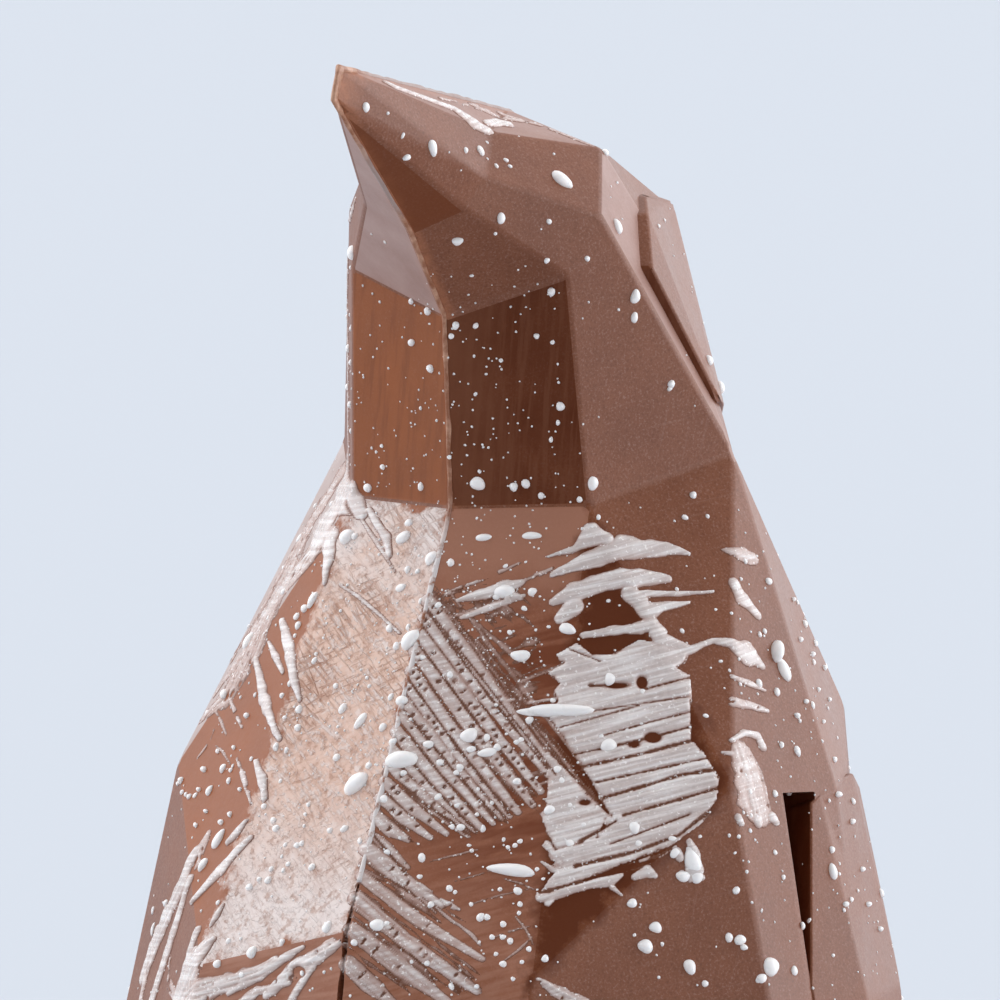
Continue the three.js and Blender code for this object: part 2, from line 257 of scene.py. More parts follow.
def rounded(bm, offset):
    bmesh.ops.remove_doubles(bm, verts=bm.verts, dist=SAME_PLACE)
    bmesh.ops.dissolve_limit(bm, angle_limit=SAME_PLANE, verts=bm.verts, edges=bm.edges)
    sharp = [edge for edge in bm.edges if len(edge.link_faces) == 2 and edge.calc_face_angle() > FLAT_EDGE]
    bmesh.ops.bevel(
        bm, geom=sharp, offset=offset, offset_type="OFFSET", segments=ROUND_SEGMENTS,
        profile=0.5, affect="EDGES", clamp_overlap=True,
    )
    bmesh.ops.recalc_face_normals(bm, faces=bm.faces)


def hull(points, name, offset):
    bm = bmesh.new()
    for point in points:
        bm.verts.new(point)
    made = bmesh.ops.convex_hull(bm, input=bm.verts)
    loose = [item for item in made["geom_interior"] if isinstance(item, bmesh.types.BMVert)]
    bmesh.ops.delete(bm, geom=loose, context="VERTS")
    if offset:
        rounded(bm, offset)
    return object_of(bm, name)


def both_halves(points):
    return list(points) + [mirrored(point) for point in points if point[0]]


def on_both_sides(points, name, offset):
    sides = {"_left": points, "_right": [mirrored(point) for point in points]}
    return [hull(side, name + end, offset) for end, side in sides.items()]


def applied(piece):
    """Applies the modifiers of a piece to its mesh."""
    graph = bpy.context.evaluated_depsgraph_get()
    mesh = bpy.data.meshes.new_from_object(piece.evaluated_get(graph))
    piece.modifiers.clear()
    piece.data = mesh


def boolean(piece, others, operation):
    for other in others:
        cut = piece.modifiers.new(other.name, "BOOLEAN")
        cut.object = other
        cut.operation = operation
        cut.solver = "EXACT"
    applied(piece)
    for other in others:
        bpy.data.objects.remove(other)


def smoothed(piece):
    mesh = piece.data
    mesh.polygons.foreach_set("use_smooth", [True] * len(mesh.polygons))
    mesh.set_sharp_from_angle(angle=CREASE)
    weighted = piece.modifiers.new("weighted", "WEIGHTED_NORMAL")
    weighted.keep_sharp = True
    weighted.weight = 90
    applied(piece)


class Noise:
    """Seeded smooth noise over the plane, 0 to 1."""

    SIZE = 256

    def __init__(self, seed):
        self.table = np.random.default_rng(seed).random((self.SIZE, self.SIZE))

    def read(self, row, column):
        return self.table[row % self.SIZE, column % self.SIZE]

    def __call__(self, x, y=0.0):
        x, y = np.broadcast_arrays(np.asarray(x, float), np.asarray(y, float))
        column, row = np.floor(x).astype(int), np.floor(y).astype(int)
        fx, fy = x - column, y - row
        fx, fy = fx * fx * (3 - 2 * fx), fy * fy * (3 - 2 * fy)
        low = self.read(row, column) * (1 - fx) + self.read(row, column + 1) * fx
        high = self.read(row + 1, column) * (1 - fx) + self.read(row + 1, column + 1) * fx
        return low * (1 - fy) + high * fy


# ---- body -----------------------------------------------------------------------------------------------


def lower_facets():
    facets = []
    for near, after in zip(range(len(belly_outline)), range(1, len(belly_outline))):
        facets.append([belly_outline[near], base_outline[near], base_outline[after], belly_outline[after]])
        facets.append([base_outline[near], (0, 0, 0), base_outline[after]])
    return facets


def faceted_body():
    bm = bmesh.new()
    half = HALF_FACETS + lower_facets()
    for facet in half + [far(facet) for facet in half]:
        bm.faces.new([bm.verts.new(point) for point in facet])
    bmesh.ops.triangulate(bm, faces=[face for face in bm.faces if len(face.verts) > 3])
    rounded(bm, EDGE_ROUND)
    return object_of(bm, "penguin")


def head_plate():
    root = [(x * PLATE_ROOT_SHRINK, y - PLATE_ROOT_SHIFT, z) for x, y, z in PLATE_OUTER]
    return hull(both_halves(PLATE_OUTER + root), "plate", RELIEF_ROUND)


def notches():
    lifted = [(x + NOTCH_LIFT[0], y + NOTCH_LIFT[1], z) for x, y, z in NOTCH_RIM]
    return on_both_sides(NOTCH_RIM + lifted + NOTCH_FLOOR, "notch", 0)


def body():
    piece = faceted_body()
    boolean(piece, notches(), "DIFFERENCE")
    wings, feet = on_both_sides(WING, "wing", RELIEF_ROUND), on_both_sides(FOOT, "foot", RELIEF_ROUND)
    boolean(piece, [*wings, head_plate(), *feet, hull(both_halves(TAIL), "tail", RELIEF_ROUND)], "UNION")
    boolean(piece, [crack_cutter()], "DIFFERENCE")
    return piece


# ---- the parting line -----------------------------------------------------------------------------------


def walked(line, step):
    """Even places along a line in the plane x = 0, each with its outward direction."""
    places = []
    for start, end in zip(line, line[1:]):
        a, b = Vector(start), Vector(end)
        out = Vector((0, end[2] - start[2], start[1] - end[1])).normalized()
        count = max(2, round((b - a).length / step))
        places += [(a.lerp(b, index / count), out) for index in range(count)]
    places.append((Vector(line[-1]), places[-1][1]))
    return places


def ringed(bm, near, after):
    """Joins two rings of as many corners by a band of faces."""
    for index in range(len(near)):
        beyond = (index + 1) % len(near)
        bm.faces.new((near[index], near[beyond], after[beyond], after[index]))


def lofted(bm, rings):
    rows = [[bm.verts.new(point) for point in ring] for ring in rings]
    for near, after in zip(rows, rows[1:]):
        ringed(bm, near, after)
    bm.faces.new(rows[0][::-1])
    bm.faces.new(rows[-1])


def sideways(distance):
    return Vector((distance, 0, 0))


def parting_seam():
    noise = Noise(SEAM_SEED)
    bm = bmesh.new()
    for number, line in enumerate([FRONT_SEAM, LOW_SEAM, BACK_SEAM]):
        lane = number * 9.5
        rings = []
        for index, (place, out) in enumerate(walked(line, SEAM_STEP)):
            wide = SEAM_HALF_WIDTH * (0.74 + 0.36 * float(noise(index * 0.35, lane)))
            high = SEAM_HEIGHT * (0.55 + 0.55 * float(noise(index * 0.45, 40 + lane)))
            if place.z > SEAM_NARROW_FROM:
                wide *= SEAM_NARROWING
            sway = SEAM_SWAY * (float(noise(index * 0.18, 90 + number)) - 0.5)
            ring = [place + sideways(sway + wide * way) - out * SEAM_ROOT for way in (1, -1)]
            for corner in range(SEAM_CORNERS):
                angle = math.pi - math.pi * corner / (SEAM_CORNERS - 1)
                lift = out * (high * math.sin(angle) - SEAM_SINK)
                ring.append(place + sideways(sway + wide * math.cos(angle)) + lift)
            rings.append(ring)
        lofted(bm, rings)
    bmesh.ops.recalc_face_normals(bm, faces=bm.faces)
    for face in bm.faces:
        face.smooth = True
    return object_of(bm, "seam")


def crack_cutter():
    noise = Noise(CRACK_SEED)
    places = walked(CRACK_LINE, CRACK_STEP)
    bm = bmesh.new()
    rings = []
    for index, (place, out) in enumerate(places):
        ends = min(index, len(places) - 1 - index)
        open_share = min(1.0, 0.25 + ends / CRACK_TAPER) * (0.6 + 0.8 * float(noise(index * 0.7)))
        wide = CRACK_HALF_WIDTH * open_share
        sway = CRACK_SWAY * (float(noise(index * 0.35, 30)) - 0.5)
        section = [
            (-wide * CRACK_FLARE, 1), (wide * CRACK_FLARE, 1), (wide, -0.1), (0, -CRACK_DEPTH), (-wide, -0.1),
        ]
        rings.append([place + sideways(sway + aside) + out * lift for aside, lift in section])
    lofted(bm, rings)
    bmesh.ops.recalc_face_normals(bm, faces=bm.faces)
    return object_of(bm, "crack")


# ---- measured places of the white chocolate, in layout millimetres --------------------------------------
# The layout plane stands upright through the origin and faces the view: across is level, up is +Z.

# Brush strokes on the near side: points, widths at them, height, streaks, holes.
NEAR_STROKES = [
    ([(3.42, 111.45), (6.42, 112.34), (8.42, 113.79), (9.98, 113.46)],
     [0.17, 0.89, 2.67, 1.56], 0.42, 0.15, 0),
    ([(3.87, 109.45), (7.53, 110.89), (11.76, 112.45), (16.53, 112.34), (19.09, 111.79)],
     [0.56, 2, 2.67, 1.67, 0.33], 0.42, 0.2, 0),
    ([(3.98, 106.33), (6.42, 107.55), (9.76, 108.67), (13.64, 109.22), (16.76, 109)],
     [0.89, 2.22, 2.22, 2.22, 0.89], 0.42, 0.2, 0),
    ([(12.76, 107.33), (14.31, 105.33), (16.42, 105.88), (19.09, 106.33)],
     [2.22, 1.78, 1.11, 0.33], 0.38, 0.1, 0),
    ([(13.64, 107.33), (18.09, 107.33), (21.76, 107.55)], [0.78, 0.67, 0.28], 0.32, 0.1, 0),
    ([(4.76, 104.55), (6.42, 105.99)], [1.33, 2], 0.38, 0.1, 0),
    ([(7.31, 102.65), (10.31, 103.21), (13.64, 103.43)], [0.67, 1.11, 1.22], 0.36, 0.1, 0),
    ([(13.2, 103.43), (14.98, 103.88), (16.09, 102.21), (19.42, 101.09)],
     [1.33, 1.89, 2, 0.67], 0.38, 0.1, 0),
    ([(15.87, 100.87), (18.53, 100.76), (21.64, 102.09), (23.64, 101.87), (25.64, 100.54)],
     [1.56, 1.11, 0.56, 1.22, 2.22], 0.34, 0.1, 0),
    ([(22.76, 112.23), (25.2, 111.56), (26.09, 111.34)], [0.22, 1.89, 1.56], 0.24, 0.35, 0.1),
    ([(24.09, 108.56), (24.98, 106.88), (26.76, 104.88)], [1, 1.44, 0.78], 0.28, 0.2, 0),
    ([(25.42, 100.87), (27.2, 99.2)], [2.22, 0.67], 0.3, 0.1, 0),
    ([(23.87, 98.09), (25.64, 97.42), (27.53, 96.53)], [0.56, 0.78, 0.33], 0.24, 0.2, 0),
    ([(23.98, 95.3), (25.87, 94.86), (27.76, 94.3)], [1.11, 1, 0.56], 0.26, 0.2, 0.05),
    ([(23.76, 90.96), (25.2, 91.85), (26.64, 91.51), (27.31, 90.18)],
     [0.56, 0.89, 0.89, 0.78], 0.3, 0.1, 0),
    ([(22.76, 89.62), (23.87, 89.51)], [0.33, 0.67], 0.24, 0.3, 0),
    ([(24.87, 89.73), (25.53, 87.5), (26.09, 84.94), (26.64, 83.05)],
     [2.22, 3.33, 3.67, 3], 0.25, 0.4, 0.03),
    ([(24.53, 82.38), (24.87, 81.71)], [0.89, 0.67], 0.34, 0, 0),
    ([(26.64, 82.16), (26.76, 81.6)], [1, 0.67], 0.34, 0, 0),
    ([(28.31, 82.38), (28.76, 81.82)], [1, 0.67], 0.34, 0, 0),
    ([(-6.58, 106.55), (-4.13, 107.22), (-1.91, 107.78), (0.53, 108.67)],
     [0.44, 1.11, 1.89, 0.67], 0.36, 0.25, 0),
    ([(-6.13, 104.66), (-3.02, 105.77), (0.76, 107.11)], [0.44, 0.89, 0.44], 0.3, 0.25, 0),
    ([(-7.91, 107.33), (-6.13, 108), (-4.47, 108.67)], [0.33, 0.56, 0.33], 0.2, 0.2, 0.2),
    ([(-3.02, 107.11), (-1.36, 107.55), (0.31, 106.88)], [0.67, 1.44, 0.56], 0.4, 0.05, 0),
    ([(-2.13, 108.22), (-1.36, 107.55), (-1.02, 106.55)], [0.44, 1.11, 0.56], 0.4, 0.05, 0),
    ([(0.31, 110.78), (-1.91, 109.78), (-4.36, 108.67)], [0.22, 0.56, 0.33], 0.14, 0.2, 0.3),
    ([(4.76, 110.45), (2.53, 109.56), (0.87, 108.89)], [0.33, 0.56, 0.33], 0.16, 0.2, 0.3),
    ([(-1.36, 95.3), (0.31, 95.63)], [0.33, 0.33], 0.18, 0, 0),
    ([(1.42, 95.19), (4.31, 95.63)], [0.33, 0.33], 0.16, 0, 0),
    ([(2.64, 73.47), (4.76, 74.03), (7.53, 74.81), (10.31, 75.25), (11.64, 75.92)],
     [1.11, 1.33, 1, 1.33, 0.44], 0.34, 0.2, 0),
    ([(13.09, 75.7), (14.53, 76.37), (15.31, 75.92)], [0.89, 1.56, 0.67], 0.34, 0.1, 0),
    ([(3.42, 72.8), (3.87, 73.58)], [0.89, 1], 0.3, 0.1, 0),
    ([(13.64, 77.48), (15.87, 78.15), (17.64, 79.15)], [0.33, 0.44, 0.22], 0.22, 0.1, 0),
    ([(10.53, 74.58), (11.64, 73.69)], [0.67, 0.33], 0.24, 0.1, 0),
    ([(19.09, 79.71), (19.64, 78.15), (19.64, 76.59)], [0.67, 1.56, 2], 0.5, 0.05, 0),
    ([(17.76, 78.48), (18.09, 77.92)], [1, 0.89], 0.4, 0, 0),
    ([(18.31, 76.14), (19.2, 75.47), (20.53, 75.7)], [0.89, 0.67, 1], 0.3, 0, 0),
    ([(3.42, 88.62), (4.31, 87.5), (5.42, 85.94)], [0.33, 0.56, 0.33], 0.36, 0.3, 0),
    ([(3.2, 84.38), (4.31, 83.72), (6.09, 83.05)], [0.33, 0.67, 0.44], 0.36, 0.3, 0.1),
    ([(2.98, 81.93), (4.31, 81.49), (5.87, 81.27)], [0.33, 0.56, 0.44], 0.34, 0.3, 0.1),
    ([(2.87, 79.26), (4.31, 78.15), (6.09, 77.48)], [0.22, 0.67, 0.56], 0.34, 0.3, 0.1),
    ([(2.64, 77.48), (3.87, 76.59), (5.42, 75.92)], [0.22, 0.67, 0.56], 0.34, 0.3, 0.1),
    ([(-10.91, 75.03), (-10.36, 74.47), (-9.47, 74.03)], [0.33, 0.67, 0.22], 0.24, 0.2, 0.1),
    ([(-8.47, 73.25), (-7.47, 72.58), (-6.47, 72.13)], [0.33, 0.78, 0.33], 0.24, 0.2, 0.2),
    ([(-11.47, 74.03), (-9.91, 72.69), (-9.02, 71.69)], [0.22, 0.33, 0.22], 0.16, 0.2, 0.1),
    ([(-9.02, 72.36), (-7.24, 70.8), (-5.69, 69.91)], [0.22, 0.44, 0.22], 0.18, 0.2, 0.2),
    ([(-6.58, 70.46), (-5.02, 69.24), (-4.13, 68.12)], [0.33, 0.56, 0.33], 0.2, 0.3, 0.1),
    ([(-9.69, 77.48), (-6.91, 78.15), (-4.36, 78.82)], [0.17, 0.28, 0.17], 0.09, 0.2, 0.1),
    ([(-6.91, 75.25), (-3.02, 76.37), (0.31, 77.15)], [0.17, 0.22, 0.17], 0.08, 0.2, 0.2),
    ([(-5.24, 72.69), (-1.91, 73.69), (1.2, 74.36)], [0.17, 0.28, 0.17], 0.08, 0.2, 0.2),
    ([(-3.02, 68.79), (-0.8, 69.68), (1.42, 70.24)], [0.17, 0.28, 0.17], 0.09, 0.2, 0.2),
    ([(-1.91, 66.01), (0.31, 67.68), (1.64, 69.01)], [0.22, 0.33, 0.22], 0.1, 0.2, 0.2),
    ([(-1.36, 75.47), (0.31, 75.03), (1.87, 74.36)], [0.17, 0.33, 0.22], 0.12, 0.2, 0.1),
    ([(-0.13, 71.24), (0.98, 69.91), (1.76, 68.23)], [0.22, 0.33, 0.22], 0.12, 0.2, 0.1),
    ([(-9.24, 107.55), (0.31, 95.08), (8.98, 83.72)], [0.56, 0.56, 0.56], 0.1, 0.3, 0),
    ([(-7.69, 107.78), (1.64, 95.52), (9.98, 84.38)], [0.33, 0.44, 0.44], 0.09, 0.3, 0.05),
    ([(-10.36, 106.22), (-1.91, 95.52), (4.31, 87.28)], [0.33, 0.44, 0.44], 0.09, 0.3, 0.05),
    ([(0.2, 97.53), (5.09, 99.42)], [0.56, 0.44], 0.09, 0.3, 0),
    ([(2.31, 64.34), (4.31, 63), (7.42, 61.44)], [0.44, 1.44, 2], 0.34, 0.4, 0.05),
    ([(3.42, 89.4), (5.31, 87.17), (8.09, 83.72), (10.31, 81.93)], [0.67, 1.11, 1.33, 1.11], 0.3, 0.3, 0.1),
    ([(3.87, 85.5), (5.87, 83.05), (9.2, 80.15)], [0.89, 1.56, 1.33], 0.3, 0.35, 0.15),
    ([(3.31, 79.37), (4.76, 77.15), (6.98, 74.92)], [0.89, 1.33, 1.11], 0.3, 0.4, 0.2),
    ([(3.09, 82.71), (4.2, 80.49), (5.42, 78.82)], [0.89, 1.33, 0.89], 0.3, 0.4, 0.2),
]
# Brush strokes on the far side, in the same order.
FAR_STROKES = [
    ([
      (-19.8, 120.47), (-22.47, 116.02), (-24.69, 111.34), (-26.8, 106.66), (-29.58, 101.09),
      (-32.36, 95.97), (-35.24, 93.07),
    ], [1.33, 2, 2.22, 2.22, 2, 1.56, 0.89], 0.22, 0.6, 0.12),
    ([(-19.47, 119.14), (-18.58, 117.8), (-17.02, 116.02)], [1.11, 2.89, 1.11], 0.42, 0.2, 0),
    ([(-18.69, 122.81), (-18.91, 120.58), (-19.13, 118.36)], [0.33, 0.44, 1.11], 0.3, 0.1, 0),
    ([(-20.13, 116.91), (-21.02, 115.35), (-21.58, 113.9)], [1.78, 2.89, 2], 0.42, 0.2, 0),
    ([(-20.69, 113.34), (-21.02, 110.89), (-21.36, 108.44)], [1.33, 1, 0.33], 0.4, 0.15, 0),
    ([(-21.24, 113.9), (-23.58, 110.89), (-26.02, 107.78)], [1.56, 1.78, 1.56], 0.3, 0.5, 0.15),
    ([(-26.02, 107.78), (-28.91, 103.54), (-30.36, 100.87)], [1.56, 1.67, 1.78], 0.3, 0.5, 0.2),
    ([(-30.36, 100.87), (-33.58, 96.08), (-36.36, 91.62)], [1.11, 1, 0.56], 0.2, 0.5, 0.35),
    ([(-19.36, 120.7), (-21.91, 116.91), (-24.13, 113.34)], [0.78, 1.78, 2], 0.24, 0.6, 0.12),
    ([(-24.13, 113.34), (-26.36, 109.45), (-28.36, 105.55)], [2, 1.78, 1.44], 0.22, 0.6, 0.16),
    ([(-28.36, 105.55), (-31.69, 99.98), (-35.69, 93.07)], [1.44, 1.22, 0.78], 0.2, 0.6, 0.2),
    ([(-18.36, 152.77), (-17.91, 151.22), (-18.58, 148.76), (-18.8, 146.76)],
     [0.33, 0.67, 0.78, 0.33], 0.26, 0.3, 0.1),
    ([(-18.69, 144.98), (-18.8, 140.08), (-18.69, 133.39), (-18.69, 126.71), (-18.8, 120.25)],
     [0.33, 0.22, 0.33, 0.22, 0.44], 0.22, 0.2, 0.3),
    ([(-33.69, 90.51), (-32.8, 89.73), (-31.91, 88.39)], [0.11, 0.33, 0.11], 0.14, 0.2, 0.3),
    ([(-35.69, 88.84), (-34.36, 90.51), (-33.69, 92.18)], [0.11, 0.28, 0.11], 0.14, 0.2, 0.3),
    ([(-16.47, 116.69), (-14.47, 113.46), (-14.13, 111.56)], [0.67, 1.22, 0.56], 0.38, 0.3, 0),
    ([(-17.24, 115.57), (-15.8, 113.34), (-13.58, 109.78)], [0.44, 0.56, 0.22], 0.25, 0.2, 0),
    ([(-19.69, 108.33), (-17.8, 107.11), (-15.47, 105.21), (-13.02, 102.87)],
     [0.33, 0.44, 0.44, 0.33], 0.3, 0.1, 0),
    ([(-26.13, 104.32), (-25.24, 100.87), (-24.13, 95.41)], [0.44, 1.11, 0.44], 0.4, 0.15, 0),
    ([(-27.58, 101.98), (-26.8, 100.2), (-26.02, 98.53)], [0.22, 0.67, 0.33], 0.3, 0.1, 0),
    ([(-29.02, 100.09), (-28.13, 95.63), (-26.36, 91.07)], [0.33, 1, 0.56], 0.4, 0.15, 0),
    ([(-31.91, 95.63), (-31.24, 93.85), (-30.58, 92.4)], [0.17, 0.44, 0.22], 0.2, 0.2, 0.2),
    ([(-33.69, 94.63), (-32.91, 93.07), (-32.36, 91.62)], [0.11, 0.33, 0.22], 0.14, 0.2, 0.3),
    ([(-29.02, 88.51), (-28.36, 86.61), (-28.02, 84.5)], [0.44, 1, 0.67], 0.4, 0.1, 0),
    ([(-31.13, 88.95), (-30.36, 86.61), (-29.58, 83.94)], [0.17, 0.56, 0.22], 0.24, 0.1, 0.1),
    ([(-30.02, 82.05), (-31.02, 80.82), (-32.13, 79.6)], [0.22, 0.78, 0.44], 0.36, 0.1, 0),
    ([(-29.58, 80.15), (-32.69, 76.81), (-36.13, 72.91)], [0.44, 1, 0.33], 0.34, 0.2, 0),
    ([(-35.69, 78.48), (-36.91, 75.7), (-40.36, 68.23), (-41.69, 64.34)],
     [0.67, 1.22, 1.11, 0.56], 0.4, 0.3, 0),
    ([(-36.36, 75.47), (-37.69, 71.13), (-40.69, 61.66)], [0.56, 0.89, 0.78], 0.36, 0.3, 0),
    ([(-35.58, 69.68), (-36.47, 66.68), (-37.91, 61.66)], [0.56, 1, 1], 0.4, 0.3, 0),
    ([(-33.8, 68.79), (-35.91, 66.12), (-37.8, 61.66)], [0.67, 1.78, 2], 0.4, 0.4, 0.05),
    ([(-23.8, 67.9), (-28.8, 65), (-33.47, 63.44), (-36.91, 61.22)],
     [0.56, 1.89, 2.11, 2.22], 0.34, 0.5, 0.03),
    ([(-20.58, 68.01), (-25.02, 65.34), (-27.91, 62.44)], [1.56, 1.89, 0.89], 0.4, 0.4, 0.05),
    ([(-19.69, 68.35), (-22.13, 66.56), (-24.13, 63.78), (-25.24, 61.66)],
     [0.89, 1.11, 0.89, 0.89], 0.36, 0.4, 0.1),
    ([(-32.69, 72.58), (-33.36, 71.46), (-34.02, 70.35)], [0.33, 0.67, 0.33], 0.3, 0.1, 0),
    ([(-34.36, 80.49), (-35.69, 77.7)], [0.56, 1.33], 0.2, 0.3, 0.3),
    ([(-30.8, 61.66), (-28.8, 63), (-25.24, 63.78)], [1.11, 1.11, 0.33], 0.3, 0.4, 0.2),
    ([(-32.13, 62.67), (-30.36, 63.78), (-28.36, 64.34)], [0.44, 0.89, 0.33], 0.34, 0.2, 0),
    ([(-37.47, 61.66), (-38.8, 63.78), (-38.58, 66.56)], [0.67, 0.56, 0.22], 0.2, 0.3, 0.3),
    ([(-41.91, 61.66), (-41.24, 64.89), (-39.69, 68.79), (-37.69, 73.25)],
     [0.44, 0.56, 0.56, 0.22], 0.26, 0.3, 0.1),
]
# Scored grooves: points, width.
NEAR_GROOVES = [
    ([(-9.39, 107.89), (0.31, 95.19), (9.17, 83.88)], 0.33),
    ([(-10.36, 106.1), (-1.91, 95.3), (4.31, 87.17)], 0.22), ([(3.82, 89.4), (10.09, 82.94)], 0.28),
    ([(0.2, 97.75), (5.09, 99.64)], 0.33), ([(-7.24, 107.55), (-1.91, 109.11)], 0.22),
    ([(-6.13, 105.66), (0.76, 108)], 0.28), ([(9.2, 91.4), (14.2, 92.85), (19.42, 94.19)], 0.18),
    ([(6.42, 89.4), (13.64, 90.96), (19.42, 92.52)], 0.27),
    ([(6.42, 87.84), (13.64, 89.4), (19.87, 91.07)], 0.33),
    ([(8.76, 86.28), (15.87, 87.84), (21.53, 89.06)], 0.22),
    ([(9.76, 84.61), (14.76, 86.06), (17.98, 87.06), (22.09, 87.73)], 0.33),
    ([(11.76, 82.6), (18.09, 84.38), (22.2, 85.61)], 0.33),
    ([(6.42, 76.92), (12.87, 78.48), (17.98, 80.38), (22.2, 83.83)], 0.39),
    ([(2.53, 73.91), (6.42, 75.03), (14.31, 77.37), (17.09, 78.93)], 0.39),
    ([(8.09, 97.08), (11.98, 97.19)], 0.33), ([(14.09, 96.64), (19.2, 97.97)], 0.22),
    ([(4.76, 92.4), (13.64, 94.86)], 0.13), ([(8.09, 94.19), (19.2, 95.86)], 0.13),
    ([(5.87, 101.09), (9.2, 99.76)], 0.13), ([(10.31, 79.37), (19.2, 82.71)], 0.16),
    ([(6.98, 79.71), (10.98, 81.93)], 0.33),
]
HATCH_GROOVES = [
    ([(-10.19, 105.55), (-3.49, 96.41), (3.42, 87.73)], 0.33),
    ([(-11.07, 101.87), (-4.38, 92.85), (2.53, 84.38)], 0.33),
    ([(-11.57, 99.76), (-5.46, 91.18), (0.87, 83.05)], 0.33),
    ([(-12.04, 97.75), (-6.53, 90.07), (-0.8, 82.71)], 0.33),
    ([(-12.79, 94.63), (-7.46, 88.06), (-1.91, 81.93)], 0.33),
    ([(-13.16, 93.07), (-8.42, 87.06), (-3.47, 81.49)], 0.33),
    ([(-13.69, 90.85), (-9.19, 85.61), (-4.47, 80.82)], 0.33),
    ([(-14.5, 87.39), (-10.04, 83.72), (-5.36, 80.49)], 0.39),
    ([(-15.38, 83.72), (-13.48, 81.93), (-11.36, 80.49)], 0.39),
    ([(-16.28, 80.71), (-14.36, 78.48), (-12.27, 75.92)], 0.39),
    ([(-17.04, 77.03), (-10.8, 73.36), (-4.13, 69.35)], 0.39),
    ([(-17.47, 74.69), (-10.8, 69.46), (-3.69, 64)], 0.39),
    ([(-18.39, 71.69), (-11.91, 67.01), (-5.24, 62.11)], 0.39),
    ([(-18.58, 68.23), (-14.36, 65), (-10.36, 62.11)], 0.39),
    ([(-5.24, 101.65), (1.42, 93.07), (6.42, 87.06)], 0.22), ([(-4.13, 102.21), (2.53, 93.74)], 0.18),
]
FAR_GROOVES = [
    ([(-18.91, 117.47), (-16.47, 113.12), (-13.8, 110)], 0.22), ([(-24.24, 65.12), (-25.24, 64.34)], 0.44),
]
# Small holes in the paint: middle, half width, half height.
NEAR_HOLES = [
    ((13.87, 97.42), 0.56, 0.67), ((15.09, 91.29), 0.89, 0.56), ((12.98, 90.51), 0.56, 0.33),
    ((11.09, 97.08), 1.11, 0.27), ((25.87, 90.73), 0.67, 0.56), ((7.53, 84.05), 0.56, 0.28),
]
FAR_HOLES = [
    ((-24.24, 65.12), 0.78, 0.56),
]
# Brush strokes on the head, in the same order.
HEAD_STROKES = [
    ([(-14.8, 164.25), (-13.47, 163.58), (-11.24, 162.8), (-7.02, 161.24), (-4.69, 159.68), (-3.47, 158.9)],
     [0.17, 0.33, 0.33, 0.44, 0.89, 0.78], 0.3, 0.2, 0),
    ([(-17.47, 165.47), (-16.13, 165.03), (-14.8, 164.36)], [0.11, 0.22, 0.22], 0.16, 0, 0.2),
    ([(-8.58, 162.46), (-4.36, 161.46), (0.31, 159.9)], [0.22, 0.56, 0.33], 0.14, 0.3, 0.35),
    ([(-1.91, 160.79), (3.09, 159.23), (8.09, 157.23)], [0.33, 0.67, 0.22], 0.14, 0.3, 0.4),
    ([(-3.36, 159.68), (-2.13, 159.68), (-1.02, 159.46)], [0.44, 0.78, 0.44], 0.4, 0, 0),
    ([(-19.91, 165.69), (-19.58, 164.8)], [0.33, 0.44], 0.2, 0.2, 0.2),
]
# Outlines that broken smears fill.
HATCH_FIELD = [
    (-9.24, 108), (-5.24, 109.78), (1.42, 109.78), (3.87, 102.21), (3.09, 95.52), (6.09, 88.28),
    (9.64, 82.38), (4.76, 81.04), (2.53, 83.83), (-0.24, 81.93), (-4.13, 80.15), (-13.02, 79.71),
    (-15.91, 81.49), (-13.47, 91.62),
]
LOWER_FIELD = [
    (-15.91, 80.15), (-13.02, 77.92), (-8.58, 73.25), (-3.58, 64.89), (-3.69, 61.77), (-18.91, 61.77),
    (-18.36, 72.69),
]
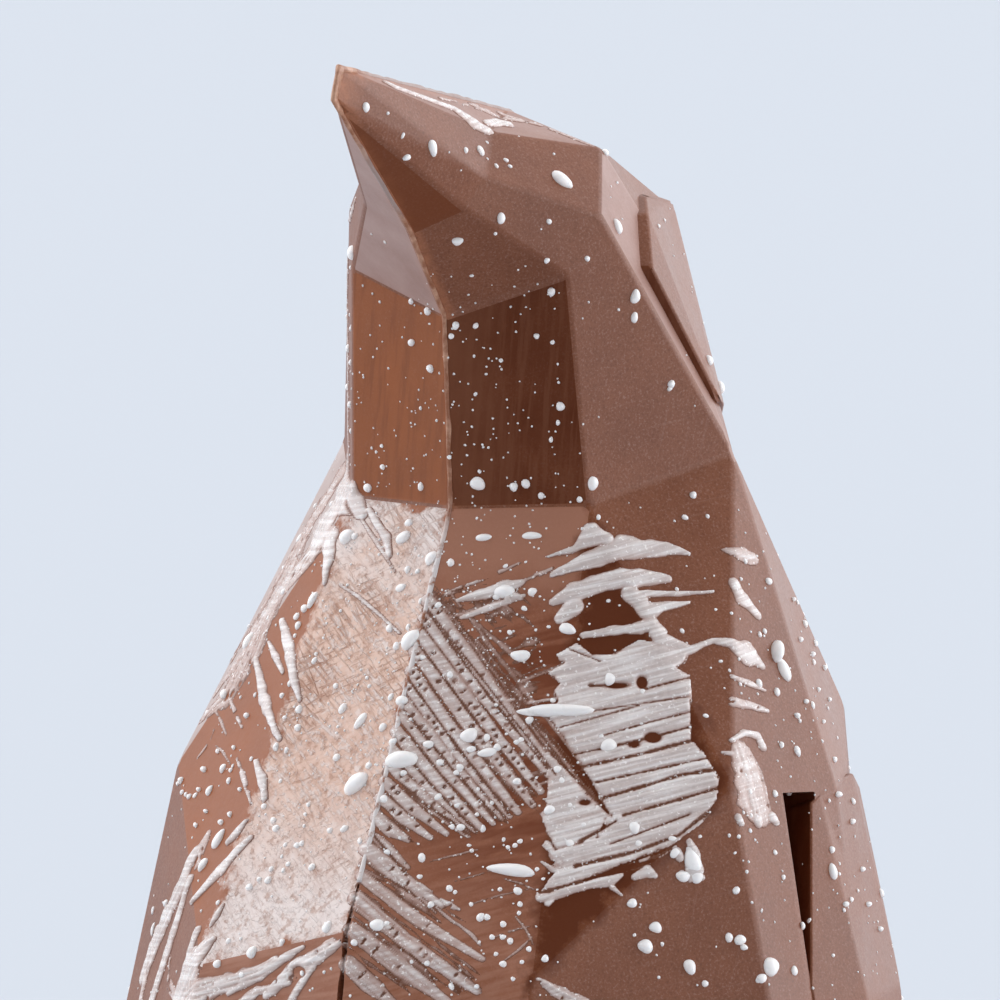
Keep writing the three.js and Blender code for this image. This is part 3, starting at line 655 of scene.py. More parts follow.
# Brushed bands beside the seam, with gaps across them, in the order of the strokes.
HATCH_BANDS = [
    ([(-9.92, 106.66), (-3.47, 97.53), (3.2, 88.84)], [1.66, 1.73, 0.87], 0.26, 0.3, 0.558),
    ([(-10.4, 104.66), (-3.6, 95.63), (3.42, 87.06)], [1.28, 1.33, 0.67], 0.26, 0.3, 0.54),
    ([(-10.82, 102.87), (-4.2, 93.85), (2.64, 85.28)], [1.53, 1.6, 0.8], 0.26, 0.3, 0.495),
    ([(-11.3, 100.87), (-4.88, 92.07), (1.76, 83.72)], [1.53, 1.6, 0.8], 0.26, 0.3, 0.495),
    ([(-11.8, 98.75), (-5.97, 90.62), (0.09, 82.94)], [1.53, 1.6, 0.8], 0.26, 0.3, 0.45),
    ([(-12.23, 96.97), (-6.63, 89.51), (-0.8, 82.49)], [1.15, 1.2, 0.6], 0.26, 0.3, 0.45),
    ([(-12.6, 95.41), (-7.37, 88.56), (-1.91, 82.16)], [1.28, 1.33, 0.67], 0.26, 0.3, 0.378),
    ([(-12.97, 93.85), (-7.94, 87.56), (-2.69, 81.71)], [1.15, 1.2, 0.6], 0.26, 0.3, 0.324),
    ([(-13.42, 91.96), (-8.78, 86.33), (-3.91, 81.15)], [1.53, 1.6, 0.8], 0.26, 0.3, 0.306),
    ([(-13.87, 90.07), (-9.33, 85.22), (-4.58, 80.82)], [1.15, 1.2, 0.6], 0.26, 0.3, 0.27),
    ([(-14.29, 88.28), (-9.99, 84.11), (-5.47, 80.38)], [1.41, 1.47, 0.73], 0.26, 0.3, 0.36),
    ([(-14.74, 86.39), (-11.44, 83.27), (-7.91, 80.6)], [1.41, 1.47, 0.73], 0.26, 0.3, 0.378),
    ([(-15.17, 84.61), (-12.54, 82.16), (-9.69, 80.15)], [1.41, 1.47, 0.73], 0.26, 0.3, 0.414),
    ([(-15.69, 82.38), (-14.02, 80.93), (-12.13, 79.93)], [1.53, 1.6, 0.8], 0.26, 0.3, 0.27),
    ([(-16.69, 78.82), (-12.8, 75.47), (-8.58, 72.58)], [1.96, 2.04, 1.07], 0.27, 0.5, 0.15),
    ([(-17.24, 75.81), (-11.91, 71.46), (-3.91, 66.56)], [1.47, 1.53, 0.8], 0.27, 0.5, 0.15),
    ([(-17.91, 73.25), (-12.47, 68.57), (-4.47, 63)], [1.96, 2.04, 1.07], 0.27, 0.5, 0.15),
    ([(-18.47, 69.91), (-13.02, 65.67), (-7.8, 61.77)], [2.08, 2.17, 1.13], 0.27, 0.5, 0.17),
    ([(-18.8, 66.01), (-16.36, 63.78), (-13.91, 61.66)], [2.2, 2.3, 1.2], 0.27, 0.5, 0.2),
    ([(-15.69, 80.15), (-14.36, 79.04), (-12.13, 76.81)], [1.1, 1.15, 0.6], 0.27, 0.5, 0.05),
]
# Outlines that paint fills.
FLANK_TONGUE = [
    (3.64, 89.29), (6.98, 85.83), (9.76, 82.38), (8.98, 80.15), (6.42, 79.37), (4.31, 78.82), (3.2, 80.82),
    (3.31, 84.38),
]
FLANK_PATCH = [
    (6.64, 101.87), (8.31, 100.54), (10.53, 100.54), (13.64, 102.21), (19.2, 100.87), (18.53, 99.53),
    (17.64, 99.09), (19.2, 98.2), (19.42, 96.64), (19.2, 94.19), (19.31, 91.07), (20.87, 89.4),
    (22.42, 86.84), (22.2, 84.38), (20.53, 81.71), (17.2, 79.26), (12.53, 77.48), (9.2, 76.25),
    (5.87, 74.69), (2.64, 74.03), (3.53, 75.47), (4.98, 77.03), (4.31, 78.82), (6.42, 79.37), (8.98, 80.15),
    (10.53, 82.38), (8.31, 86.39), (5.42, 90.96), (3.42, 93.74), (4.53, 95.3), (3.98, 96.41), (4.76, 97.31),
    (3.53, 98.42), (4.98, 99.53), (4.31, 100.54),
]
# Drops that show: across, up, length, width, angle.
FACE_DROPS = [
    (4.9, 153.4, 2.9, 1.6, -44), (-9.4, 157, 1.9, 1.1, -80), (-6.6, 146.6, 1.4, 1, 27),
    (-1.8, 149.1, 1.3, 1, 70), (-4.1, 156.6, 1.4, 0.9, -67), (-16.8, 161.5, 1.2, 0.9, 75),
    (11.1, 148.2, 2, 1.2, -75), (13.1, 140.4, 1.6, 1.2, 80), (13, 138.1, 1.2, 0.9, 80),
    (-4.4, 119.6, 1.9, 1.4, -20), (8.4, 119.6, 1.7, 1.2, 90), (4.8, 128.2, 1.1, 1, 0),
    (-12.6, 113.6, 2, 1.4, 20), (-18.9, 113.7, 2.2, 1.6, 20), (-17.9, 86.1, 3.3, 2.2, 15),
    (-12.8, 88.8, 3.6, 2.2, 0), (0.4, 100.4, 2.2, 1.4, -13), (29.6, 98.8, 2.8, 1.6, -75),
    (10.2, 90.4, 1.8, 1.6, 0), (-5.4, 91.5, 2, 1.7, 0), (3.1, 94.2, 6.7, 1, -2),
    (-0.6, 76.5, 5.8, 1.4, -10), (19.5, 77.5, 3.1, 1.8, -80), (18.4, 75.8, 1.6, 1.3, 0),
    (20, 75.7, 1.6, 1.3, 0), (17.6, 78.4, 1.3, 1.1, 45), (19.2, 65.7, 1.7, 1.4, -60),
    (14.2, 68, 1.7, 1.6, 0), (15.4, 70.1, 1.4, 1.3, 0), (24.8, 68.7, 1.3, 1.2, 0),
    (28.2, 65.7, 2.3, 2.1, 0), (27.2, 64.4, 1.3, 1, 30), (30.8, 65.3, 1.2, 0.9, -85),
    (35.1, 76.3, 1.8, 1.2, 90), (12.8, 72.8, 1.2, 1, 0), (-22.7, 106.6, 2, 1.2, 60),
    (-33.2, 79.9, 2.7, 1.3, 55), (-29.5, 67.3, 1.6, 1.2, 60), (-34.2, 85.4, 1.4, 0.9, 60),
    (-34.9, 77.1, 1.8, 1.1, 50), (5.6, 103.4, 2.1, 1.2, -20), (-3.7, 113.6, 2, 0.8, 0),
    (1.6, 113.8, 2.2, 0.9, -8), (-17.4, 93.1, 2.2, 1.1, 55), (31.1, 89.8, 1.3, 0.9, -72),
    (13, 81.2, 1.4, 1.4, 0), (10.3, 97.8, 1.4, 1.4, 0), (-37.36, 86.5, 0.78, 1, 0),
    (-36.8, 84.94, 0.56, 0.67, 0), (-34.8, 87.73, 0.67, 1.11, 70), (-35.36, 85.5, 0.56, 0.89, 70),
    (-34.58, 83.05, 0.56, 0.89, 70), (-32.91, 81.82, 0.67, 1, 60), (-35.69, 81.49, 0.56, 0.78, 60),
    (-31.91, 82.71, 0.67, 0.89, 60), (-30.8, 85.5, 0.56, 0.78, 70), (-31.47, 90.18, 0.56, 0.78, 60),
    (-33.24, 89.73, 0.56, 0.78, 60), (-28.02, 95.52, 0.67, 0.89, 70), (-30.02, 93.74, 0.67, 1, 70),
    (29.42, 111.12, 0.56, 0.89, 80), (30.09, 109.45, 0.56, 0.89, 80), (30.64, 106.66, 0.56, 1, 80),
    (31.42, 102.21, 0.67, 1, 80), (32.76, 100.54, 0.67, 1.11, 80), (34.09, 99.09, 0.67, 1, 80),
    (33.42, 96.64, 0.56, 0.89, 80), (34.64, 95.52, 0.56, 0.89, 80), (32.09, 95.3, 0.56, 0.89, 80),
    (31.09, 93.74, 0.67, 1, 80), (33.98, 93.07, 0.56, 0.89, 80), (35.64, 84.94, 0.67, 1.33, 80),
    (37.2, 81.93, 0.67, 1.11, 80), (38.31, 76.59, 0.67, 1.11, 80), (38.98, 72.69, 0.67, 1.22, 80),
    (40.31, 69.91, 0.67, 1.11, 80), (36.53, 72.69, 0.67, 1, 80), (35.2, 88.84, 0.78, 1, 80),
    (28.76, 100.87, 1.56, 2.67, 0), (0.31, 72.69, 0.67, 0.67, 0), (0.2, 71.69, 0.56, 0.56, 0),
    (-1.58, 70.46, 0.78, 0.78, 0), (-0.8, 68.57, 0.78, 0.78, 0), (-1.58, 66.01, 0.89, 0.78, 0),
    (0.53, 66.23, 0.56, 0.56, 0), (1.31, 67.68, 0.67, 0.67, 0), (-0.47, 64.34, 0.56, 0.56, 0),
    (-2.36, 67.12, 0.56, 0.56, 0), (-2.8, 69.01, 0.67, 0.67, 0), (-3.36, 71.24, 0.78, 0.78, 0),
    (-6.91, 74.03, 0.56, 0.56, 0), (-5.13, 72.69, 0.56, 0.56, 0), (-1.91, 74.36, 0.56, 0.56, 0),
    (2.2, 76.59, 0.56, 0.56, 0), (0.31, 79.71, 0.67, 0.56, 0), (-1.02, 79.04, 0.56, 0.56, 0),
    (-5.36, 79.26, 0.56, 0.44, 0), (-4.36, 85.5, 0.56, 0.56, 0), (-0.24, 79.26, 0.67, 0.56, 0),
    (4.64, 94.3, 7.44, 1.56, -1), (-5.13, 89.95, 1.11, 0.89, 0), (-3.24, 89.62, 2.44, 1, 5),
    (-2.24, 90.18, 1, 0.89, 0), (-1.36, 107.55, 2.33, 1.67, 10), (-2.24, 107, 1.11, 0.78, 30),
    (-0.24, 107, 1.11, 0.67, 20), (19.31, 78.82, 1, 1.11, 80), (-12.24, 155.89, 1, 0.78, 0),
    (-14.36, 160.79, 0.44, 0.44, 0), (-12.69, 158.34, 0.78, 0.44, 60), (-3.36, 157.56, 0.56, 0.33, 0),
    (-1.24, 155.56, 0.67, 0.56, 0), (-0.8, 154.89, 0.67, 0.44, 0), (3.53, 148.76, 0.67, 0.67, 0),
    (3.31, 144.42, 0.67, 0.67, 0), (7.76, 144.64, 0.67, 0.67, 0), (-12.02, 115.24, 1.22, 0.89, 0),
    (-12.91, 108, 1.56, 0.89, -5), (-14.13, 103.43, 1, 1, 0), (-24.47, 104.77, 1, 0.89, 0),
    (-24.24, 94.41, 1.11, 1, 0), (-24.36, 92.4, 1, 0.89, 0), (-19.36, 94.52, 1.33, 1, 40),
    (-12.13, 110, 0.89, 0.89, 0), (-29.8, 101.98, 2.44, 1.44, 60), (-24.13, 113.46, 1.33, 0.78, 60),
    (-32.69, 87.84, 1.22, 0.89, 60), (-36.47, 84.72, 0.89, 0.67, 0), (-35.8, 84.83, 0.89, 0.56, 0),
    (-20.02, 89.06, 1, 1, 0), (-28.13, 83.61, 0.78, 0.78, 0), (-24.47, 79.26, 0.89, 0.78, 0),
    (-22.8, 76.81, 1, 0.89, 0), (-19.13, 81.15, 0.89, 0.89, 0), (-29.8, 74.58, 1, 0.89, 0),
    (-27.69, 75.36, 1, 0.89, 0), (-28.69, 75.47, 0.67, 0.67, 0), (-33.36, 66.01, 1.11, 1, 0),
    (-21.13, 70.13, 1.56, 1.11, 50), (-15.58, 70.35, 1.78, 1.33, -20), (-26.13, 68.46, 0.78, 0.78, 0),
    (-32.13, 68.57, 0.78, 0.67, 0), (-30.58, 64.78, 1.11, 0.78, 0), (-40.47, 69.91, 1.56, 0.67, 80),
    (-40.47, 72.02, 1, 0.56, 80), (-9.58, 111.23, 1.89, 1.33, 70), (-11.8, 102.21, 2.67, 2, 50),
    (-12.8, 95.41, 1.44, 1.22, 0), (-2.13, 159.68, 1.22, 0.67, -10), (-10.69, 106.55, 0.89, 0.56, 70),
    (-16.47, 88.17, 1, 0.78, 0), (-14.8, 84.38, 1.22, 0.89, -60), (-6.36, 87.95, 1, 0.89, 0),
    (-9.91, 90.51, 1.22, 1, 0), (-8.58, 88.51, 1, 0.78, 0), (-6.58, 83.72, 0.89, 0.67, 0),
    (-6.24, 81.27, 1, 0.89, 0), (3.64, 83.16, 1.33, 1.22, 0), (4.53, 87.73, 1.11, 0.89, -30),
    (7.42, 81.49, 0.89, 0.78, 0), (-8.8, 83.49, 0.67, 0.44, 0),
]

# ---- laying things on the surface -----------------------------------------------------------------------


class Surface:
    """Finds places on a mesh made in metres, and works in millimetres."""

    def __init__(self, piece):
        bm = bmesh.new()
        bm.from_mesh(piece.data)
        bmesh.ops.scale(bm, vec=(1 / MM,) * 3, verts=bm.verts)
        self.tree = BVHTree.FromBMesh(bm)
        bm.free()

    def hit(self, origin, direction):
        place, normal, _, _ = self.tree.ray_cast(origin, direction)
        return (place, normal) if place else None

    def on_layout(self, across, up):
        aim = Vector((across * math.cos(LAYOUT_TURN), across * math.sin(LAYOUT_TURN), up))
        return self.hit(EYE, (aim - EYE).normalized())


def layout_direction(angle):
    rise = math.radians(angle)
    level = math.cos(rise)
    return Vector((level * math.cos(LAYOUT_TURN), level * math.sin(LAYOUT_TURN), math.sin(rise)))


# ---- paint: brushed white chocolate as a fine sheet of real thickness -----------------------------------

UNPAINTED = -9.0  # the height of a place that has no paint
USED_ABOVE = -0.6
FAR_AWAY = 1e9
TINY = 1e-9
FACING = 0.05  # how squarely a place has to face a sheet to be found on it
LAND_FACING = 0.06
LAND_REACH = 300
LAND_GROWTH = (-2, -1, 1, 2)  # cells
NORMAL_PASSES = 3
SHEET_FLOOR = -0.13
SHEET_TOP = 3
LONGEST_CELL = 1.2

EDGE_SLOPE = 0.9  # how steeply paint ends
STROKE_MARGIN = 0.5
STROKE_STRETCH = 2.6  # the most by which a slanting facet widens a stroke
STROKE_LANE = 17.3  # from one stroke's part of the noise to the next one's
STROKE_RAG = 0.42
STROKE_ROUND = 0.62
RAG_RUN = 1.1
BRISTLE_WIDTH = 0.19
BRISTLE_RUN = 5
BRISTLE_DEPTH = 1.5
HOLE_RUN = 0.62
HOLE_LEAN = 1.4
HOLE_WIDTH = 0.6
HOLE_EDGE = 0.16
RUNG_RAG = 0.16
RUNG_STEP = 0.78  # along a brushed band, from one gap to the next
RUNG_HOLE = 0.24
RUNG_SHARE = 0.5  # of the half width, across a gap and as far as it strays
RUNG_GRAIN = 0.3
RUNG_EDGE = 0.3
RUNG_UNDER = 0.08

GROOVE_SHOULDER = 0.5  # how far from a groove the paint is rounded off
GROOVE_RISE = 0.34
GROOVE_SHADE_FILM = 0.012  # a thin dark film left in the bottoms of grooves and gaps: painted shade
LIP_GAP = 0.17  # from a groove's edge to the ridge beside it
LIP_SLOPE = 0.42
LIP_FADE = 2.0
LIP_SINK = 0.02

PATCH_MARGIN = 0.6
PATCH_EDGE = 0.55
PATCH_RAG = 0.35
PATCH_SLOPE = 0.24
SMEAR_FADE = 2.0
SMEAR_EDGE = 0.3
SMEAR_FLOOR = -0.1

# A sheet's turn and rise in degrees, its reach across and up, the size of its cells and its seed.
NEAR_SHEET = (38, 14, (-26, 26), (43, 118), 0.17, 5)
FAR_SHEET = (-38, 14, (-26, 26), (43, 150), 0.2, 6)
HEAD_SHEET = (28.8, 30, (-22, 12), (119, 143), 0.15, 9)
SMEARS = [  # outline, angle, share that is covered, height, lane
    (HATCH_FIELD, -50, 0.42, 0.09, 3.0),
    (HATCH_FIELD, 18, 0.36, 0.09, 61.0),
    (LOWER_FIELD, -44, 0.45, 0.11, 33.0),
]
PATCHES = [(FLANK_PATCH, 0.36), (FLANK_TONGUE, 0.3)]  # outline, height
BAND_NUMBER = 100
HATCH_NUMBER = 50
HATCH_LIP = 0.09
NEAR_LIP = 0.05


def facing(turn, rise):
    """The direction from the middle towards a viewer at a turn and rise in radians."""
    return Vector((math.sin(turn) * math.cos(rise), -math.cos(turn) * math.cos(rise), math.sin(rise)))


def outline_reach(corners, a, b):
    """Which places lie within an outline, and how far each is from its edge."""
    within = np.zeros(a.shape, bool)
    distance = np.full(a.shape, FAR_AWAY)
    for (x0, y0), (x1, y1) in zip(corners, np.roll(corners, -1, 0)):
        dx, dy = x1 - x0, y1 - y0
        at = x0 + (b - y0) * dx / (dy if y1 != y0 else TINY)
        within ^= ((y0 > b) != (y1 > b)) & (a < at)
        share = np.clip(((a - x0) * dx + (b - y0) * dy) / (dx**2 + dy**2), 0, 1)
        distance = np.minimum(distance, np.hypot(a - x0 - dx * share, b - y0 - dy * share))
    return within, distance


def cell_draw(cell, lane):
    """An even draw from 0 to 1 for each numbered cell of a lane."""
    return np.modf(np.abs(np.sin(cell * 12.99 + lane * 7.23) * 4375.85))[0]


class Sheet:
    """A grid of places on the surface, seen square-on from one side."""

    def __init__(self, surface, turn, rise, across, up, pitch, seed):
        turn = math.radians(turn)
        self.side = Vector((math.cos(turn), math.sin(turn), 0))
        self.view = facing(turn, math.radians(rise))
        self.upward = self.view.cross(self.side)
        self.surface = surface
        self.noise = Noise(seed)
        columns = round((across[1] - across[0]) / pitch) + 1
        rows = round((up[1] - up[0]) / pitch) + 1
        self.a, self.b = np.meshgrid(np.linspace(*across, columns), np.linspace(*up, rows))
        self.height = np.full(self.a.shape, UNPAINTED)
        self.spot = np.zeros(self.a.shape + (3,))
        self.normal = np.zeros(self.a.shape + (3,))
        self.valid = np.zeros(self.a.shape, bool)

    def place(self, point):
        """Where a layout point lies on this sheet."""
        found = self.surface.on_layout(*point)
        if not found or found[1].dot(self.view) < FACING:
            return None
        return found[0].dot(self.side), found[0].dot(self.upward)

    def outline(self, points):
        return np.array([spot for spot in map(self.place, points) if spot])

    def track(self, points, widths):
        """A stroke's line on this sheet, with its widths as they are there."""
        line = []
        for index, (point, width) in enumerate(zip(points, widths)):
            before, after = points[max(index - 1, 0)], points[min(index + 1, len(points) - 1)]
            run = Vector((after[0] - before[0], after[1] - before[1])).normalized()
            centre = self.place(point)
            sides = [
                self.place((point[0] - run.y * width / 2 * way, point[1] + run.x * width / 2 * way))
                for way in (-1, 1)
            ]
            if centre is None:
                continue
            reach = min(math.dist(*sides), width * STROKE_STRETCH) if all(sides) else width
            line.append((*centre, reach))
        return line

    def nearest(self, line):
        """Distance, side distance, way along and half width for each place near a line."""
        track = np.array(line)
        margin = track[:, 2].max() / 2 + STROKE_MARGIN
        inside = (
            (self.a > track[:, 0].min() - margin) & (self.a < track[:, 0].max() + margin)
            & (self.b > track[:, 1].min() - margin) & (self.b < track[:, 1].max() + margin)
        )
        a, b = self.a[inside], self.b[inside]
        best = np.full(a.shape, FAR_AWAY)
        along, side, half = np.zeros(a.shape), np.zeros(a.shape), np.full(a.shape, 0.1)
        walked_length = 0.0
        for (x0, y0, w0), (x1, y1, w1) in zip(track, track[1:]):
            dx, dy = x1 - x0, y1 - y0
            length = max(math.hypot(dx, dy), 1e-6)
            share = np.clip(((a - x0) * dx + (b - y0) * dy) / length**2, 0, 1)
            distance = np.hypot(a - x0 - dx * share, b - y0 - dy * share)
            closer = distance < best
            best = np.where(closer, distance, best)
            along = np.where(closer, walked_length + share * length, along)
            side = np.where(closer, ((a - x0) * dy - (b - y0) * dx) / length, side)
            half = np.where(closer, (w0 + (w1 - w0) * share) / 2, half)
            walked_length += length
        return inside, best, side, along, half

    def raise_to(self, inside, height):
        self.height[inside] = np.maximum(self.height[inside], height)

    def rung_gaps(self, side, along, half, holes, lane):
        """How open a brushed band is at each place, with one gap at most to a step."""
        cell = np.floor(along / RUNG_STEP)
        draw = cell_draw(cell, lane)
        shift = (np.modf(draw * 17.0)[0] - 0.5) * RUNG_SHARE * half
        reach = np.hypot(
            (along / RUNG_STEP - cell - 0.5) * RUNG_STEP / (RUNG_HOLE * (0.7 + draw)),
            (side - shift) / (RUNG_SHARE * half),
        )
        reach += 0.5 * (self.noise(along / RUNG_GRAIN + lane, side / RUNG_GRAIN) - 0.5)
        return np.where(draw < holes, np.clip((1.05 - reach) / RUNG_EDGE, 0, 1), 0)

    def stroke(self, number, points, widths, high, streaks, holes, ladder):
        line = self.track(points, widths)
        if len(line) < 2:
            return
        inside, distance, side, along, half = self.nearest(line)
        lane = number * STROKE_LANE
        rag = RUNG_RAG if ladder else STROKE_RAG
        half = half * (1 - rag / 2 + rag * self.noise(along / RAG_RUN + lane, np.sign(side) * 3 + lane))
        share = distance / np.maximum(half, 1e-3)
        dome = np.clip(1 - share**2, 0, 1) ** STROKE_ROUND
        streak = self.noise(side / BRISTLE_WIDTH + lane, along / BRISTLE_RUN + lane)
        height = high * dome * (1 - streaks * streak * BRISTLE_DEPTH)
        height = np.where(share > 1, -EDGE_SLOPE * (distance - half), height)
        if ladder:
            gap = self.rung_gaps(side, along, half, holes, lane)
            # A gap keeps a thin dark film: painted shade.
            height = np.where(gap > 0, np.maximum(height - gap * (high + RUNG_UNDER), GROOVE_SHADE_FILM), height)
        elif holes:
            rung = self.noise(along / HOLE_RUN + side / HOLE_LEAN + lane, side / HOLE_WIDTH + lane)
            gap = np.clip((rung - (0.86 - holes * 0.62)) / HOLE_EDGE, 0, 1)
            height = height - gap * (high * 0.95 + 0.05)
        self.raise_to(inside, height)

    def groove(self, number, points, width, lip):
        line = self.track(points, [width] * len(points))
        if len(line) < 2:
            return
        inside, distance, _, along, half = self.nearest(line)
        half = half * (0.55 + 0.9 * self.noise(along / RAG_RUN, number * 5.3))
        away = np.clip((distance - half) / GROOVE_SHOULDER, 0, 1)
        shoulder = GROOVE_RISE * np.sqrt(1 - (1 - away) ** 2)
        before = self.height[inside]
        limit = np.where(away >= 1, -UNPAINTED, np.where(distance > half, shoulder, distance - half))
        # A groove keeps a thin dark film at its bottom: painted shade.
        cut = np.maximum(np.minimum(before, limit), GROOVE_SHADE_FILM)
        self.height[inside] = np.where(before > GROOVE_SHADE_FILM, cut, before)
        if lip:
            ridge = lip * (0.4 + 0.9 * self.noise(along / 1.6 + number * 3.1, number * 7.7))
            ridge = ridge * np.clip((along.max() - along) / LIP_FADE, 0, 1) - LIP_SINK
            self.raise_to(inside, ridge - LIP_SLOPE * np.abs(distance - half - LIP_GAP))

    def hole(self, centre, wide, high):
        spot = self.place(centre)
        if spot:
            reach = np.hypot((self.a - spot[0]) / wide, (self.b - spot[1]) / high)
            self.height = np.minimum(self.height, (reach - 1) * min(wide, high) * EDGE_SLOPE)

    def patch(self, points, high):
        """Paint that fills an outline, with streaks that run across it."""
        corners = self.outline(points)
        low, top = corners.min(0) - PATCH_MARGIN, corners.max(0) + PATCH_MARGIN
        inside = (self.a > low[0]) & (self.a < top[0]) & (self.b > low[1]) & (self.b < top[1])
        a, b = self.a[inside], self.b[inside]
        within, distance = outline_reach(corners, a, b)
        distance += PATCH_RAG * (self.noise(a / 0.7, b / 0.45) - 0.5)
        dome = np.sqrt(1 - (1 - np.clip(distance / PATCH_EDGE, 0, 1)) ** 2)
        lie = b - a * PATCH_SLOPE
        streak = self.noise(lie / 0.34, a / 9) * 0.6 + self.noise(lie / 0.13 + 50, a / 5) * 0.4
        height = high * dome * (0.5 + 0.62 * streak)
        self.raise_to(inside, np.where(within, height, -EDGE_SLOPE * distance))

    def smear(self, points, angle, share, deep, lane):
        """A thin broken smear inside an outline, drawn out along an angle."""
        within, distance = outline_reach(self.outline(points), self.a, self.b)
        rise = math.radians(angle)
        along = self.a * math.cos(rise) + self.b * math.sin(rise)
        side = self.b * math.cos(rise) - self.a * math.sin(rise)
        coarse = self.noise(side / 0.5 + lane, along / 3.6)
        grain = 0.75 * coarse + 0.25 * self.noise(side / 0.3 + lane, along / 1.6 + lane)
        fade = np.clip(distance / SMEAR_FADE, 0, 1)
        height = deep * (grain - (1 - share * fade)) / SMEAR_EDGE
        self.raise_to(within, np.clip(height, SMEAR_FLOOR, deep)[within])

    def strokes(self, rows, first=0, ladder=False):
        for number, (points, widths, high, streaks, holes) in enumerate(rows, first):
            self.stroke(number, points, widths, high, streaks, holes, ladder)

    def grooves(self, rows, first=0, lip=0.0):
        for number, (points, width) in enumerate(rows, first):
            self.groove(number, points, width, lip)

    def holes(self, rows):
        for centre, wide, high in rows:
            self.hole(centre, wide, high)

    def land(self):
        """Casts the used part of the grid on to the surface."""
        used = self.height > USED_ABOVE
        grown = used.copy()
        for axis in (0, 1):
            for way in LAND_GROWTH:
                grown |= np.roll(used, way, axis)
        origin_shift = self.view * LAND_REACH
        for row, column in np.argwhere(grown):
            start = self.side * self.a[row, column] + self.upward * self.b[row, column] + origin_shift
            found = self.surface.hit(start, -self.view)
            if found and found[1].dot(self.view) > LAND_FACING:
                self.spot[row, column] = found[0]
                self.normal[row, column] = found[1]
                self.valid[row, column] = True
        for _ in range(NORMAL_PASSES):
            total = self.normal.copy()
            for axis in (0, 1):
                total += np.roll(self.normal, 1, axis) + np.roll(self.normal, -1, axis)
            self.normal = total / np.maximum(np.linalg.norm(total, axis=2, keepdims=True), TINY)

    def piece(self, name):
        self.land()
        height = np.clip(self.height, SHEET_FLOOR, SHEET_TOP)
        top = self.spot + self.normal * height[..., None]
        good = self.valid
        cell_good = good[:-1, :-1] & good[1:, :-1] & good[:-1, 1:] & good[1:, 1:]
        tallest = np.maximum.reduce([height[:-1, :-1], height[1:, :-1], height[:-1, 1:], height[1:, 1:]])
        first = top[:-1, :-1]
        spread = np.maximum.reduce([
            np.linalg.norm(other - first, axis=2) for other in (top[1:, :-1], top[:-1, 1:], top[1:, 1:])
        ])
        cells = np.argwhere(cell_good & (tallest > 0.0) & (spread < LONGEST_CELL))
        number = -np.ones(height.shape, int)
        corners = np.stack([cells, cells + (0, 1), cells + (1, 1), cells + (1, 0)], 1)
        keys = np.unique(corners.reshape(-1, 2), axis=0)
        number[keys[:, 0], keys[:, 1]] = np.arange(len(keys))
        faces = number[corners[..., 0], corners[..., 1]]
        points = top[keys[:, 0], keys[:, 1]] * MM
        mesh = bpy.data.meshes.new(name)
        mesh.from_pydata(points.tolist(), [], faces.tolist())
        mesh.polygons.foreach_set("use_smooth", [True] * len(mesh.polygons))
        depth = mesh.attributes.new("thickness", "FLOAT", "POINT")
        depth.data.foreach_set("value", height[keys[:, 0], keys[:, 1]].astype(np.float32))
        mesh.update()
        return linked(name, mesh)


def near_paint(surface):
    sheet = Sheet(surface, *NEAR_SHEET)
    for smear in SMEARS:
        sheet.smear(*smear)
    sheet.strokes(HATCH_BANDS, BAND_NUMBER, ladder=True)
    sheet.grooves(HATCH_GROOVES, HATCH_NUMBER, HATCH_LIP)
    for patch in PATCHES:
        sheet.patch(*patch)
    sheet.strokes(NEAR_STROKES)
    sheet.grooves(NEAR_GROOVES, lip=NEAR_LIP)
    sheet.holes(NEAR_HOLES)
    return sheet.piece("paint_near")


def far_paint(surface):
    sheet = Sheet(surface, *FAR_SHEET)
    sheet.strokes(FAR_STROKES)
    sheet.grooves(FAR_GROOVES)
    sheet.holes(FAR_HOLES)
    return sheet.piece("paint_far")


def head_paint(surface):
    sheet = Sheet(surface, *HEAD_SHEET)
    sheet.strokes(HEAD_STROKES)
    return sheet.piece("paint_head")


# ---- drops ----------------------------------------------------------------------------------------------

DROP_HEIGHT = 0.42
DROP_FOOT = -24  # degrees, where a dome starts below the surface
DROP_CLIMB = 114  # degrees, from there to its top
DROP_DRAWS = 6
DROP_FACETS = ((0.6, 7, 3), (1.2, 10, 4), (9.0, 18, 6))  # up to this length: turns, rings
DROP_WOBBLE = (0.07, 0.05)
DROP_LEAN = (0.14, 0.3)
DROP_SEED = 31
WOBBLE_PHASE = 6.3
HEAD_FOOT = 118
HEAD_TOP = 143
HEAD_EDGE = 7.6
FINE_SEED = 77
SPECK_COUNT = 620
SPECK_MIDDLE = (-8, 113)
SPECK_SPREAD = (11, 21)
SPECK_SIZES = (0.14, 0.34)
SPECK_WIDTH = 0.9
FINE_COUNT = 1250
FINE_ACROSS = (-46, 46)
FINE_UP = (2, 168)
FINE_SIZES = (0.26, 0.85)  # the smallest, and how much is added at most
FINE_POWER = 4
FINE_STRETCH = (0.75, 1)
ROUND_COUNT = 900
ROUND_TURNS = (60, 300)
ROUND_HEIGHTS = (3, 160)
ROUND_SHIFTS = (-30, 30)
HALF_TURN = (0, 180)
SPREAD_SEED = 4127
SPREAD_COUNT = 36
SPREAD_TURNS = (70, 290)
SPREAD_HEIGHTS = (12, 154)
SPREAD_LENGTHS = (1.2, 2.4)
SPREAD_WIDTHS = (0.65, 0.95)
EYE_REACH = 200
CLEAR_X, CLEAR_Y, CLEAR_Z = 45.2, 44.5, 167.4
# Where the small drops lie thick: the share, then the middle and the spread across and up.
DENSE_SPOTS = [(0.42, -9, 130, 13, 13), (0.6, -2, 88, 22, 24), (0.6, -22, 90, 11, 20)]
DENSE_ALL_OVER = 0.13
DENSE_SIDE = 0.75
DENSE_SIDE_FROM = 24
BARE_HEAD_SHARE = 0.25


